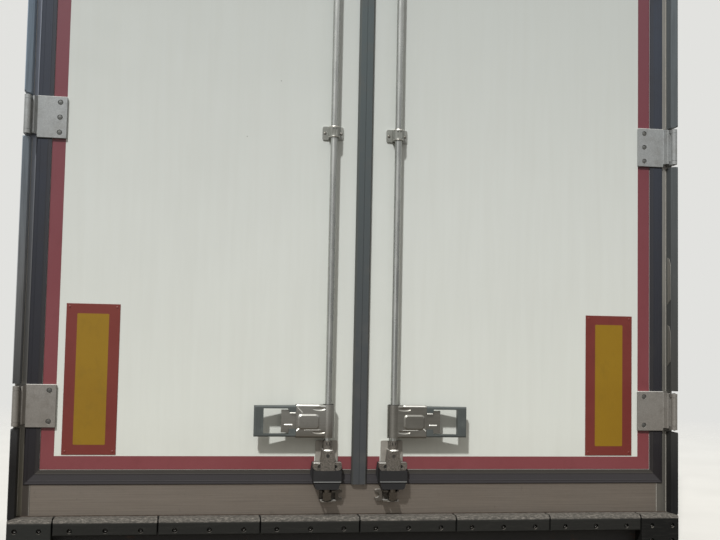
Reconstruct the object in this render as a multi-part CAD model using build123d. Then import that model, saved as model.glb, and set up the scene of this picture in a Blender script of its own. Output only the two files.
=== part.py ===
from build123d import *
from math import radians, tan
import os

# Rear door frame of a refrigerated semi-trailer, with its two insulated doors, lock rods and dock bumper.
# Millimetres. X is to the right seen from behind, Y points forward into the load space, Z is up.
# The origin is the centre of the sill's front face, where the frame meets the trailer's body.

# Frame
OVERALL_WIDTH = 2600.0
POST_WIDTH = 70.0
FRAME_DEPTH = 150.0
FRAME_WALL = 4.0
SILL_HEIGHT = 143.0
HEADER_HEIGHT = 105.0
DRIP_RAIL_DEPTH = 22.0
DRIP_RAIL_HEIGHT = 14.0
DRIP_RAIL_WALL = 3.0
LAMP_WIDTH = 100.0
LAMP_HEIGHT = 36.0
LAMP_PROUD = 16.0
LAMP_INSET = 90.0
LAMP_CORNER = 12.0

# Doors
DOOR_THICKNESS = 85.0
DOOR_HEIGHT = 2689.0
DOOR_GAP = 8.0
MEETING_GAP = 6.0
MEETING_BEVEL = 17.0
GASKET_WIDTH = 55.0
GASKET_ON_DOOR = 20.5
GASKET_PROUD = 6.0
GASKET_LIP_GAP = 0.3
GASKET_WEB = 4.0
GASKET_WEB_DEPTH = 62.0
GASKET_BEVEL = 3.0
CENTRE_SEAL_WIDTH = 57.0
CENTRE_SEAL_PROUD = 18.0
CENTRE_SEAL_SPLIT = 3.0
CENTRE_SEAL_BEVEL = 5.0
TAPE_WIDTH = 50.0
TAPE_THICKNESS = 0.5
TAPE_TO_GASKET = 1.2
PLATE_WIDTH = 198.0
PLATE_HEIGHT = 565.0
PLATE_THICKNESS = 2.0
PLATE_TO_TAPE = 26.0
PLATE_ABOVE_TAPE = 5.0

# Hinges
HINGE_PITCH = 1087.0
HINGE_HEIGHT = 146.0
PIN_FROM_SIDE = 12.0
PIN_PROUD = 48.0
PIN_RADIUS = 6.0
PIN_CLEARANCE = 0.08
KNUCKLE_RADIUS = 12.0
EAR_HEIGHT = 15.0
EAR_CLEARANCE = 1.0
LEAF_HEIGHT = 160.0
LEAF_PROUD = 12.0
LEAF_OVER_GASKET = 0.5
LEAF_EDGE_FROM_SIDE = 152.0
LEAF_CORNER = 4.0
LEAF_BEVEL = 1.5
STEP_FROM_SIDE = 42.0
STEP_BELOW = 67.5
STEP_ABOVE = 78.0
STEP_ABOVE_AT_SIDE = 72.0
STEP_LAP = 5.0
STEP_TO_EAR = 2.0
STEP_ROOT = 4.5
BUMP_PROUD = 33.0
BUMP_WIDTH = 8.0
BUMP_ROUND = 2.5
GROOVE_PROUD = 31.0
GROOVE_TO_PIN = 11.0
SADDLE_TO_PIN = 7.0
SADDLE_PROUD = 38.0
SADDLE_UNDER = 26.0
SCREW_RADIUS = 10.0
SCREW_DEPTH = 4.0
SCREW_PITCH = 57.5
SCREW_FROM_EDGE = 26.0

# Each hinge's screws, from the lowest hinge up: 0 is its middle, 1 one pitch above
HINGE_SCREWS = ((-1, 1), (-1, 0, 1), (-1, 0, 1))

# Post covers
COVER_WIDTH = 23.0
COVER_INNER_PROUD = 38.0
COVER_PROUD = 60.0
COVER_BEVEL = 3.0
COVER_LEAN = 1.0
COVER_TO_HINGE = 3.0
COVER_END_PROUD = 54.0
COVER_END_RUN = 6.0
COVER_END_ROUND = 4.0

# Lock rods
ROD_FROM_CENTRE = 128.5
ROD_PROUD = 38.0
ROD_RADIUS = 13.5
ROD_CLEARANCE = 0.08
ROD_PAST_TAPE = 164.0
CAM_LENGTH = 25.0
CAM_HEIGHT = 12.0
CAM_WIDTH = 24.0
CAM_FROM_END = 16.0
CAM_COLLAR = 30.0
CAM_COLLAR_HEIGHT = 28.0
CAM_COLLAR_LIFT = 2.0

# Rod guides
GUIDE_WIDTH = 84.0
GUIDE_HEIGHT = 54.0
GUIDE_PLATE = 5.0
GUIDE_CORNER = 8.0
GUIDE_SLANT = 4.0
GUIDE_CLAMP_RADIUS = 21.5
GUIDE_CLAMP_HEIGHT = 45.0
GUIDE_CLAMP_BEVEL = 3.0
GUIDE_RECESS_WIDTH = 20.0
GUIDE_RECESS_HEIGHT = 26.0
GUIDE_RECESS_DEPTH = 4.0
GUIDE_LIP = 4.0
GUIDE_BELOW_MIDDLE = 8.0

# Castings that carry the rods' ends: a foot, a spine around the rod, a boss above and two ears below
FOOT_WIDTH = 86.0
FOOT_PROUD = 8.0
FOOT_CORNER = 6.0
FOOT_BELOW_LINE = 19.0
FOOT_ABOVE_LINE = 62.0
SPINE_LOW_WIDTH = 54.0
SPINE_HIGH_WIDTH = 42.0
SPINE_PROUD = 56.0
SPINE_ROUND = 4.0
SPINE_ABOVE_LINE = 32.0
SPINE_HOLE_WIDTH = 9.0
SPINE_HOLE_HEIGHT = 14.0
SPINE_HOLE_ABOVE_LINE = 7.0
BOSS_RADIUS = 17.0
BOSS_PAST_FOOT = 3.0
EARS_WIDTH = 110.0
EARS_HEIGHT = 30.0
EARS_BACK = 17.0
EARS_PROUD = 46.0
EARS_CORNER = 13.0
EARS_TOP_CORNER = 3.0
EARS_HOLE_SPREAD = 62.0
EARS_HOLE_RADIUS = 7.0
EARS_HOLE_DEPTH = 14.0
EARS_HOLE_LIFT = 14.0
TAPE_TO_CASTING = 3.0

# Black guards below the castings
GUARD_WIDTH = 108.0
GUARD_STEP_WIDTH = 103.0
GUARD_TIP_WIDTH = 86.0
GUARD_HEIGHT = 72.0
GUARD_PROUD = 56.0
GUARD_STEP = 2.5
GUARD_STEP_HEIGHT = 27.0
GUARD_CORNER = 8.0
GUARD_LIFT = 0.6
WING_WIDTH = 122.0
WING_TOP_WIDTH = 112.0
WING_LOW = 52.0
WING_TO_SPINE = 1.0

# Keepers on the sill and the header
KEEPER_INNER = 36.5
KEEPER_OUTER = 24.5
KEEPER_HEIGHT = 44.0
KEEPER_PLATE = 6.0
KEEPER_FORK = 6.0
KEEPER_PROUD = 46.0
KEEPER_TO_GUARD = 4.0
KEEPER_SLOT_CLEARANCE = 5.0
CLAW_WIDTH = 27.0
CLAW_PROUD = 16.0
CLAW_ROUND = 7.0
CLAW_MOUTH_RADIUS = 11.0
CLAW_MOUTH_INSET = 5.0

# Handles
HANDLE_HEIGHT = 126.0
HANDLE_ABOVE_TAPE = 76.0
HUB_RADIUS = 25.0
ARM_END = 255.0
ARM_BACK_PROUD = 20.0
ARM_FRONT_PROUD = 60.0
ARM_WALL = 3.0
ARM_CORNER = 8.0
RIB_START = 171.0
RIB_END = 242.0
RIB_BELOW_MIDDLE = 25.0
RIB_ABOVE_MIDDLE = 21.0
RIB_CORNER = 9.0
RIB_HEIGHT = 3.0
LENS_CENTRE = 167.0
LENS_PLACES = (47.0, -41.0)
LENS_WIDTH = 50.0
LENS_HEIGHT = 14.0
LENS_DEPTH = 2.0
PRESSED_SLOPE = 65.0
GRIP_END = 415.0
GRIP_HEIGHT = 118.0
GRIP_BACK_PROUD = 17.0
GRIP_TIP_BACK_PROUD = 45.0
GRIP_FRONT_PROUD = 62.0
GRIP_BAR = 36.0
GRIP_RAIL = 11.0
GRIP_PAD_WIDTH = 27.0
GRIP_PAD_HEIGHT = 16.0
GRIP_CORNER = 6.0
TONGUE_END = 311.0
TONGUE_BACK_PROUD = 47.0
TONGUE_THICKNESS = 5.0
TONGUE_TO_RAIL = 5.0
TONGUE_CLEARANCE = 0.3

# Dock bumper and its beam
BUMPER_DEPTH = 62.0
BUMPER_HEIGHT = 62.5
BUMPER_ROUND = 22.0
PAD_COUNT = 6
PAD_GAP = 5.0
PAD_CORNER = 6.0
PAD_END_ROUND = 4.0
END_BLOCK_WIDTH = 157.5
END_BLOCK_HEIGHT = 200.0
BOLT_PITCH = 128.0
BOLT_HOLE_RADIUS = 9.5
BOLT_HOLE_DEPTH = 14.0
END_BOLT_OFFSETS = (28.0, 114.0)
BOLT_ROWS = (44.0, 103.0, 162.0)
BEAM_HEIGHT = 130.0
BEAM_DEPTH = 100.0
BEAM_WALL = 5.0
BEAM_END_PLATE = 8.0
BEAM_END_WIDTH = 160.0
CHASSIS_CENTRES = 1300.0
CHASSIS_BOLT_X = 100.0
CHASSIS_BOLT_Z = 70.0
CHASSIS_HOLE_RADIUS = 8.5

# Places worked out from the sizes above
HALF_WIDTH = OVERALL_WIDTH / 2
OPENING_HALF = HALF_WIDTH - POST_WIDTH
FACE_Y = -FRAME_DEPTH
FRAME_FACE_Y = FACE_Y + GASKET_LIP_GAP
SILL_TOP = SILL_HEIGHT / 2
SILL_BOTTOM = -SILL_TOP
PANEL_LOW = SILL_TOP + DOOR_GAP
PANEL_HIGH = PANEL_LOW + DOOR_HEIGHT
HEADER_LOW = PANEL_HIGH + DOOR_GAP
FRAME_TOP = HEADER_LOW + HEADER_HEIGHT
DOOR_MIDDLE = (PANEL_LOW + PANEL_HIGH) / 2
PANEL_OUTER = OPENING_HALF - DOOR_GAP
PANEL_INNER = MEETING_GAP / 2
GASKET_INNER = PANEL_OUTER - GASKET_ON_DOOR
GASKET_OUTER = GASKET_INNER + GASKET_WIDTH
GASKET_LOW = PANEL_LOW + GASKET_ON_DOOR - GASKET_WIDTH
GASKET_HIGH = PANEL_HIGH - GASKET_ON_DOOR + GASKET_WIDTH
TAPE_OUTER = GASKET_INNER - TAPE_TO_GASKET
TAPE_INNER = TAPE_OUTER - TAPE_WIDTH
TAPE_LOW = GASKET_LOW + GASKET_WIDTH + TAPE_TO_GASKET
TAPE_LINE_LOW = TAPE_LOW + TAPE_WIDTH
TAPE_HIGH = GASKET_HIGH - GASKET_WIDTH - TAPE_TO_GASKET
PIN_X = HALF_WIDTH - PIN_FROM_SIDE
PIN_Y = FACE_Y - PIN_PROUD
ROD_Y = FACE_Y - ROD_PROUD
ARM_MIDDLE = TAPE_LINE_LOW + HANDLE_ABOVE_TAPE + HANDLE_HEIGHT / 2
EARS_LOW = TAPE_LINE_LOW - FOOT_BELOW_LINE - EARS_HEIGHT
GUARD_LOW = EARS_LOW - GUARD_HEIGHT
BEAM_TOP = SILL_BOTTOM
BLOCK_INNER = HALF_WIDTH - END_BLOCK_WIDTH
PAD_WIDTH = (2 * BLOCK_INNER - PAD_GAP * (PAD_COUNT + 1)) / PAD_COUNT
SIDES = (("left", -1), ("right", 1))


def place_y(proud):
    """The Y of a point that stands this far out from the doors' outer face."""
    return FACE_Y - proud


def block(x_low, x_high, y_low, y_high, z_low, z_high):
    """A box between two corners."""
    size = (abs(x_high - x_low), abs(y_high - y_low), abs(z_high - z_low))
    middle = ((x_low + x_high) / 2, (y_low + y_high) / 2, (z_low + z_high) / 2)
    return Pos(*middle) * Box(*size)


def plate(x_low, x_high, back, front, z_low, z_high):
    """A box on the doors' outer side, its depth given as proud distances."""
    return block(x_low, x_high, place_y(back), place_y(front), z_low, z_high)


def upright(x, y, radius, z_low, z_high):
    """A vertical cylinder."""
    return Pos(x, y, (z_low + z_high) / 2) * Cylinder(radius, z_high - z_low)


def across(x, z, radius, y_low, y_high):
    """A cylinder along Y."""
    turned = Rot(90, 0, 0) * Cylinder(radius, y_high - y_low)
    return Pos(x, (y_low + y_high) / 2, z) * turned


def carried(points, plane, depth, taper=0):
    """A flat outline carried along its plane's normal. A point may name its corner's radius third."""
    radii = [point[2] if len(point) > 2 else 0 for point in points]
    wire = FilletPolyline(*[(point[0], point[1]) for point in points], radius=radii, close=True)
    return plane * extrude(make_face(wire), amount=depth, taper=taper)


def prism(points, z_low, z_high):
    """An outline of (x, proud) points, carried up from z_low to z_high."""
    plane = Plane(origin=(0, FACE_Y, z_low), x_dir=(1, 0, 0), z_dir=(0, 0, 1))
    return carried([(x, -proud, *radius) for x, proud, *radius in points], plane, z_high - z_low)


def front_prism(points, back, front, taper=0):
    """An outline of (x, z) points, carried out from one proud distance to another, narrowing by a taper."""
    plane = Plane(origin=(0, place_y(back), 0), x_dir=(1, 0, 0), z_dir=(0, -1, 0))
    return carried(points, plane, front - back, taper)


def side_prism(points, x_low, x_high):
    """An outline of (proud, z) points, carried across from x_low to x_high."""
    plane = Plane(origin=(x_high, FACE_Y, 0), x_dir=(0, -1, 0), z_dir=(-1, 0, 0))
    return carried(points, plane, x_high - x_low)


def sided(shape, sign):
    """The shape as modelled on the right, or its mirror image on the left."""
    return shape if sign > 0 else mirror(shape, about=Plane.YZ)


def save(shape, name):
    """Writes one sub-part under its own name."""
    solids = shape.solids()
    whole = solids[0] if len(solids) == 1 else Compound(children=list(solids))
    whole.label = name
    export_step(whole, f"parts/{name}.step")


def tube(x_low, x_high, y_low, y_high, z_low, z_high, wall, along):
    """A rectangular tube, open at both ends along one axis."""
    low = [x_low + wall, y_low + wall, z_low + wall]
    high = [x_high - wall, y_high - wall, z_high - wall]
    low[along] -= 2 * wall
    high[along] += 2 * wall
    outer = block(x_low, x_high, y_low, y_high, z_low, z_high)
    return outer - block(low[0], high[0], low[1], high[1], low[2], high[2])


# Frame pieces


def sill():
    return tube(-OPENING_HALF, OPENING_HALF, FRAME_FACE_Y, 0, SILL_BOTTOM, SILL_TOP, FRAME_WALL, 0)


def header():
    return tube(-OPENING_HALF, OPENING_HALF, FRAME_FACE_Y, 0, HEADER_LOW, FRAME_TOP, FRAME_WALL, 0)


def post():
    """The right post: a tube that is closed at both ends."""
    body = tube(OPENING_HALF, HALF_WIDTH, FRAME_FACE_Y, 0, SILL_BOTTOM, FRAME_TOP, FRAME_WALL, 2)
    for z_low in (SILL_BOTTOM, FRAME_TOP - FRAME_WALL):
        body += block(OPENING_HALF, HALF_WIDTH, FRAME_FACE_Y, 0, z_low, z_low + FRAME_WALL)
    return body


def hinge_middles():
    """The height of each hinge's middle, evenly about the door's middle."""
    count = len(HINGE_SCREWS)
    lowest = DOOR_MIDDLE - HINGE_PITCH * (count - 1) / 2
    return [lowest + HINGE_PITCH * i for i in range(count)]


def hinge_bracket(middle):
    """One hinge's two ears on the right post, with the pin pressed through them."""
    low = middle - HINGE_HEIGHT / 2
    high = middle + HINGE_HEIGHT / 2
    bracket = upright(PIN_X, PIN_Y, PIN_RADIUS, low, high)
    for z_low, z_high in ((low, low + EAR_HEIGHT), (high - EAR_HEIGHT, high)):
        neck = plate(PIN_X - KNUCKLE_RADIUS, PIN_X + KNUCKLE_RADIUS, -GASKET_LIP_GAP, PIN_PROUD, z_low, z_high)
        bracket += neck + upright(PIN_X, PIN_Y, KNUCKLE_RADIUS, z_low, z_high)
    return bracket


def hinge_brackets():
    return Compound(children=[hinge_bracket(middle) for middle in hinge_middles()])


def post_cover_run(z_low, z_high, low_end, high_end):
    """One run of the dark corner cover, its crest near the corner and cut back where a hinge follows."""
    inner = HALF_WIDTH - COVER_WIDTH
    base = -GASKET_LIP_GAP
    across_points = [
        (inner, base),
        (inner + COVER_LEAN, COVER_INNER_PROUD),
        (HALF_WIDTH - COVER_BEVEL, COVER_PROUD),
        (HALF_WIDTH, COVER_PROUD - COVER_BEVEL),
        (HALF_WIDTH, base),
    ]
    side_points = [
        (base, z_low),
        (COVER_END_PROUD, z_low, COVER_END_ROUND * low_end),
        (COVER_PROUD, z_low + COVER_END_RUN * low_end, COVER_END_ROUND * low_end),
        (COVER_PROUD, z_high - COVER_END_RUN * high_end, COVER_END_ROUND * high_end),
        (COVER_END_PROUD, z_high, COVER_END_ROUND * high_end),
        (base, z_high),
    ]
    return prism(across_points, z_low, z_high) & side_prism(side_points, inner, HALF_WIDTH)


def post_cover():
    """The cover's runs below, between and above the hinges."""
    reach = LEAF_HEIGHT / 2 + COVER_TO_HINGE
    starts = [SILL_BOTTOM] + [middle + reach for middle in hinge_middles()]
    ends = [middle - reach for middle in hinge_middles()] + [FRAME_TOP]
    runs = []
    for low, high in zip(starts, ends):
        runs.append(post_cover_run(low, high, int(low > SILL_BOTTOM), int(high < FRAME_TOP)))
    return Compound(children=runs)


def drip_rail():
    """A gutter strip along the header's top edge."""
    y_back = FRAME_FACE_Y
    y_front = FRAME_FACE_Y - DRIP_RAIL_DEPTH
    low = FRAME_TOP - DRIP_RAIL_HEIGHT
    inner = HALF_WIDTH - COVER_WIDTH
    foot = block(-inner, inner, y_front, y_back, low, low + DRIP_RAIL_WALL)
    lip = block(-inner, inner, y_front, y_front + DRIP_RAIL_WALL, low, FRAME_TOP)
    return foot + lip


def marker_lamps():
    """Two end-outline lamps on the header's face."""
    z_high = FRAME_TOP - DRIP_RAIL_HEIGHT - DRIP_RAIL_WALL
    lamps = []
    for _, sign in SIDES:
        outer = GASKET_OUTER - LAMP_INSET
        lamp = block(
            outer - LAMP_WIDTH, outer, FRAME_FACE_Y - LAMP_PROUD, FRAME_FACE_Y, z_high - LAMP_HEIGHT, z_high
        )
        lamp = fillet(lamp.edges().filter_by(Axis.Y), LAMP_CORNER)
        lamps.append(sided(lamp, sign))
    return Compound(children=lamps)


# Dock bumper


def rubber_block(x_low, x_high, height):
    """A block under the beam's top line: well rounded along its upper edge, a little on the others."""
    top = BEAM_TOP
    low = top - height
    side = [(0, low), (BUMPER_DEPTH, low, PAD_CORNER), (BUMPER_DEPTH, top, BUMPER_ROUND), (0, top)]
    plan = [
        (x_low, 0), (x_high, 0), (x_high, BUMPER_DEPTH, PAD_END_ROUND), (x_low, BUMPER_DEPTH, PAD_END_ROUND),
    ]
    face = [(x_low, low), (x_high, low), (x_high, top, PAD_END_ROUND), (x_low, top, PAD_END_ROUND)]
    return side_prism(side, x_low, x_high) & prism(plan, low, top) & front_prism(face, 0, BUMPER_DEPTH)


def bumper_pad(index):
    """One rubber pad between the end blocks, counted from the left."""
    pitch = PAD_WIDTH + PAD_GAP
    middle = (index - (PAD_COUNT - 1) / 2) * pitch
    body = rubber_block(middle - PAD_WIDTH / 2, middle + PAD_WIDTH / 2, BUMPER_HEIGHT)
    return body - bolt_holes([middle + BOLT_PITCH * k for k in (-1, 0, 1)], BOLT_ROWS[:1])


def bolt_holes(x_places, rows):
    """The recesses for the bolts in the bumper's front face."""
    front = place_y(BUMPER_DEPTH)
    cuts = []
    for x in x_places:
        for row in rows:
            cuts.append(across(x, BEAM_TOP - row, BOLT_HOLE_RADIUS, front, front + BOLT_HOLE_DEPTH))
    return Compound(children=cuts)


def bumper_end():
    """The right end block, which is taller than the pads."""
    body = rubber_block(BLOCK_INNER, HALF_WIDTH, END_BLOCK_HEIGHT)
    return body - bolt_holes([HALF_WIDTH - offset for offset in END_BOLT_OFFSETS], BOLT_ROWS)


def bumper_beam():
    """The closed tube that carries the bumper, with an end plate behind each end block."""
    y_low = FACE_Y
    y_high = FACE_Y + BEAM_DEPTH
    low = BEAM_TOP - BEAM_HEIGHT
    foot = BEAM_TOP - END_BLOCK_HEIGHT
    body = tube(-HALF_WIDTH, HALF_WIDTH, y_low, y_high, low, BEAM_TOP, BEAM_WALL, 0)
    for _, sign in SIDES:
        cap = block(HALF_WIDTH - BEAM_WALL, HALF_WIDTH, y_low, y_high, low, BEAM_TOP)
        end = block(HALF_WIDTH - BEAM_END_WIDTH, HALF_WIDTH, y_low, y_low + BEAM_END_PLATE, foot, low)
        body += sided(cap + end, sign)
    return body - chassis_holes(y_high)


def chassis_holes(y_face):
    """Four bolt holes for each chassis beam, through the tube's front wall."""
    middle_z = BEAM_TOP - BEAM_HEIGHT / 2
    cuts = []
    for side in (-1, 1):
        for i in (-1, 1):
            for k in (-1, 1):
                x = side * CHASSIS_CENTRES / 2 + i * CHASSIS_BOLT_X / 2
                z = middle_z + k * CHASSIS_BOLT_Z / 2
                cuts.append(across(x, z, CHASSIS_HOLE_RADIUS, y_face - 2 * BEAM_WALL, y_face + BEAM_WALL))
    return Compound(children=cuts)


# Door pieces, as on the right door


def door_panel():
    """The insulated panel, its meeting edge bevelled so that it can swing clear."""
    points = [
        (PANEL_INNER, 0),
        (PANEL_OUTER, 0),
        (PANEL_OUTER, -DOOR_THICKNESS),
        (PANEL_INNER + MEETING_BEVEL, -DOOR_THICKNESS),
    ]
    return prism(points, PANEL_LOW, PANEL_HIGH)


def gasket():
    """The lip on the door's face and the web in the gap, on three sides of the door."""
    inner = CENTRE_SEAL_WIDTH / 2
    lip = plate(inner, GASKET_OUTER, 0, GASKET_PROUD, GASKET_LOW, GASKET_HIGH)
    lip = chamfer(lip.faces().sort_by(Axis.Y)[0].edges(), GASKET_BEVEL)
    window = plate(
        0, GASKET_INNER, -1, GASKET_PROUD + 1, GASKET_LOW + GASKET_WIDTH, GASKET_HIGH - GASKET_WIDTH
    )
    web_outer = plate(
        inner, PANEL_OUTER + GASKET_WEB, -GASKET_WEB_DEPTH, 0, PANEL_LOW - GASKET_WEB, PANEL_HIGH + GASKET_WEB
    )
    web_inner = plate(0, PANEL_OUTER, -GASKET_WEB_DEPTH - 1, 1, PANEL_LOW, PANEL_HIGH)
    return lip - window + (web_outer - web_inner)


def centre_seal():
    """The right half of the seal that covers the meeting edges."""
    half = CENTRE_SEAL_WIDTH / 2
    points = [
        (CENTRE_SEAL_SPLIT / 2, 0),
        (CENTRE_SEAL_SPLIT / 2, CENTRE_SEAL_PROUD),
        (half - CENTRE_SEAL_BEVEL, CENTRE_SEAL_PROUD),
        (half, CENTRE_SEAL_PROUD - CENTRE_SEAL_BEVEL),
        (half, 0),
    ]
    return prism(points, GASKET_LOW, GASKET_HIGH)


def contour_tape():
    """Reflective tape along the bottom, the outer edge and the top, cut out around the castings."""
    inner = CENTRE_SEAL_WIDTH / 2
    whole = plate(inner, TAPE_OUTER, 0, TAPE_THICKNESS, TAPE_LOW, TAPE_HIGH)
    tape = whole - plate(0, TAPE_INNER, -1, 1, TAPE_LOW + TAPE_WIDTH, TAPE_HIGH - TAPE_WIDTH)
    half = FOOT_WIDTH / 2 + TAPE_TO_CASTING
    return tape - plate(ROD_FROM_CENTRE - half, ROD_FROM_CENTRE + half, -1, 1, PANEL_LOW, PANEL_HIGH)


def marking_plate():
    """The upright marking plate beside the tape."""
    outer = TAPE_INNER - PLATE_TO_TAPE
    low = TAPE_LINE_LOW + PLATE_ABOVE_TAPE
    return plate(outer - PLATE_WIDTH, outer, 0, PLATE_THICKNESS, low, low + PLATE_HEIGHT)


def hinge_leaf(middle, screws):
    """One leaf: a plate on the door, a raised bump past the gasket and a knuckle on the pin."""
    inner = HALF_WIDTH - LEAF_EDGE_FROM_SIDE
    foot = GASKET_INNER - TAPE_TO_GASKET
    under = GASKET_PROUD + LEAF_OVER_GASKET
    step = HALF_WIDTH - STEP_FROM_SIDE
    side = PIN_X - KNUCKLE_RADIUS - STEP_TO_EAR
    half_leaf = LEAF_HEIGHT / 2
    half_knuckle = HINGE_HEIGHT / 2 - EAR_HEIGHT - EAR_CLEARANCE
    low = middle - half_leaf
    high = middle + half_leaf
    leaf = front_prism(
        [
            (inner, low, LEAF_CORNER), (step, low, LEAF_CORNER), (step, high), (inner, high, LEAF_CORNER),
        ],
        TAPE_THICKNESS, LEAF_PROUD,
    )
    leaf = chamfer(leaf.faces().sort_by(Axis.Y)[0].edges(), LEAF_BEVEL)
    leaf -= plate(foot, step, 0, under, low, high)
    bump_low = middle - STEP_BELOW
    bump_high = middle + STEP_ABOVE
    bump = prism(bump_points(step, side, under), bump_low, bump_high)
    bump &= front_prism(
        [
            (step - STEP_LAP, bump_low), (side, bump_low), (side, middle + STEP_ABOVE_AT_SIDE),
            (step, bump_high), (step - STEP_LAP, bump_high),
        ],
        0, BUMP_PROUD,
    )
    leaf += bump
    leaf += prism(saddle_points(side, under), middle - half_knuckle, middle + half_knuckle)
    leaf += upright(PIN_X, PIN_Y, KNUCKLE_RADIUS, middle - half_knuckle, middle + half_knuckle)
    leaf -= upright(PIN_X, PIN_Y, PIN_RADIUS + PIN_CLEARANCE, low, high)
    front = place_y(LEAF_PROUD)
    screw_x = inner + SCREW_FROM_EDGE
    for k in screws:
        leaf -= across(screw_x, middle + k * SCREW_PITCH, SCREW_RADIUS, front, front + SCREW_DEPTH)
    return leaf


def bump_points(step, side, under):
    """The raised band between the leaf's plate and the static ears."""
    return [
        (step - STEP_LAP, under),
        (step - STEP_LAP, LEAF_PROUD),
        (step, LEAF_PROUD, STEP_ROOT),
        (side - BUMP_WIDTH, BUMP_PROUD, BUMP_ROUND),
        (side, BUMP_PROUD, BUMP_ROUND),
        (side, LEAF_PROUD),
        (step, under),
    ]


def saddle_points(side, under):
    """What joins the bump to the knuckle between the ears: a groove, then the saddle under the pin."""
    return [
        (side - BUMP_WIDTH / 2, under + GASKET_LIP_GAP),
        (side - BUMP_WIDTH / 2, GROOVE_PROUD),
        (PIN_X - GROOVE_TO_PIN, GROOVE_PROUD),
        (PIN_X - SADDLE_TO_PIN, SADDLE_PROUD),
        (PIN_X + SADDLE_TO_PIN / 2, SADDLE_PROUD),
        (PIN_X + SADDLE_TO_PIN / 2, SADDLE_UNDER),
        (PIN_X - GROOVE_TO_PIN, LEAF_PROUD),
    ]


def hinge_leaves():
    return Compound(children=[hinge_leaf(*each) for each in zip(hinge_middles(), HINGE_SCREWS)])


def rod_bore(z_low, z_high):
    """The hole that a lock rod turns in."""
    return upright(ROD_FROM_CENTRE, ROD_Y, ROD_RADIUS + ROD_CLEARANCE, z_low, z_high)


def rod_guide():
    """The clamp that holds the rod near the door's middle: a screwed plate and a recessed collar."""
    middle = DOOR_MIDDLE - GUIDE_BELOW_MIDDLE
    half = GUIDE_WIDTH / 2
    low = middle - GUIDE_HEIGHT / 2
    high = middle + GUIDE_HEIGHT / 2
    left = ROD_FROM_CENTRE - half
    right = ROD_FROM_CENTRE + half
    outline = [
        (left, low + GUIDE_SLANT, GUIDE_CORNER), (right, low, GUIDE_CORNER), (right, high, GUIDE_CORNER),
        (left, high, GUIDE_CORNER),
    ]
    body = front_prism(outline, 0, GUIDE_PLATE)
    collar_low = middle - GUIDE_CLAMP_HEIGHT / 2
    collar_high = middle + GUIDE_CLAMP_HEIGHT / 2
    collar = upright(ROD_FROM_CENTRE, ROD_Y, GUIDE_CLAMP_RADIUS, collar_low, collar_high)
    collar = chamfer(collar.edges().filter_by(GeomType.CIRCLE), GUIDE_CLAMP_BEVEL)
    reach = GUIDE_CLAMP_RADIUS - GUIDE_CLAMP_BEVEL
    body += plate(ROD_FROM_CENTRE - reach, ROD_FROM_CENTRE + reach, 0, ROD_PROUD, collar_low, collar_high)
    body += collar
    front = ROD_PROUD + GUIDE_CLAMP_RADIUS
    half_recess = GUIDE_RECESS_WIDTH / 2
    for sign in (-1, 1):
        near = ROD_FROM_CENTRE + sign * GUIDE_LIP / 2
        far = ROD_FROM_CENTRE + sign * half_recess
        body -= plate(
            min(near, far), max(near, far), front - GUIDE_RECESS_DEPTH, front, middle - GUIDE_RECESS_HEIGHT / 2,
            middle + GUIDE_RECESS_HEIGHT / 2,
        )
    return body - rod_bore(low, high)


def ends(build):
    """A lower piece and its mirror image about the door's middle, as one group."""
    low = build()
    middle_plane = Plane(origin=(0, 0, DOOR_MIDDLE), z_dir=(0, 0, 1))
    return Compound(children=[low, mirror(low, about=middle_plane)])


def rod_bearing():
    """The lower casting: a foot on the door, a spine over the rod, a boss above and two screw ears below."""
    foot_low = TAPE_LINE_LOW - FOOT_BELOW_LINE
    foot_high = TAPE_LINE_LOW + FOOT_ABOVE_LINE
    spine_high = TAPE_LINE_LOW + SPINE_ABOVE_LINE
    boss_high = foot_high + BOSS_PAST_FOOT
    half_foot = FOOT_WIDTH / 2
    half_low = SPINE_LOW_WIDTH / 2
    half_high = SPINE_HIGH_WIDTH / 2
    middle = ROD_FROM_CENTRE
    foot = [
        (middle - half_foot, foot_low), (middle + half_foot, foot_low),
        (middle + half_foot, foot_high, FOOT_CORNER), (middle - half_foot, foot_high, FOOT_CORNER),
    ]
    spine = [
        (middle - half_low, EARS_LOW), (middle + half_low, EARS_LOW),
        (middle + half_low, foot_low, SPINE_ROUND), (middle + half_high, spine_high, SPINE_ROUND),
        (middle - half_high, spine_high, SPINE_ROUND), (middle - half_low, foot_low, SPINE_ROUND),
    ]
    body = front_prism(foot, 0, FOOT_PROUD) + front_prism(spine, 0, SPINE_PROUD)
    body += upright(middle, ROD_Y, BOSS_RADIUS, spine_high, boss_high)
    body += plate(middle - BOSS_RADIUS, middle + BOSS_RADIUS, 0, ROD_PROUD, spine_high, foot_high)
    body += casting_ears(middle, foot_low)
    body -= spine_hole(middle)
    return body - rod_bore(EARS_LOW, boss_high)


def casting_ears(middle, high):
    """The two screw ears in front of the guard, each with a deep hole."""
    half = EARS_WIDTH / 2
    outline = [
        (middle - half, EARS_LOW, EARS_CORNER), (middle + half, EARS_LOW, EARS_CORNER),
        (middle + half, high, EARS_TOP_CORNER), (middle - half, high, EARS_TOP_CORNER),
    ]
    body = front_prism(outline, EARS_BACK, EARS_PROUD)
    front = place_y(EARS_PROUD)
    for sign in (-1, 1):
        x = middle + sign * EARS_HOLE_SPREAD / 2
        body -= across(x, EARS_LOW + EARS_HOLE_LIFT, EARS_HOLE_RADIUS, front, front + EARS_HOLE_DEPTH)
    return body


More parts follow.
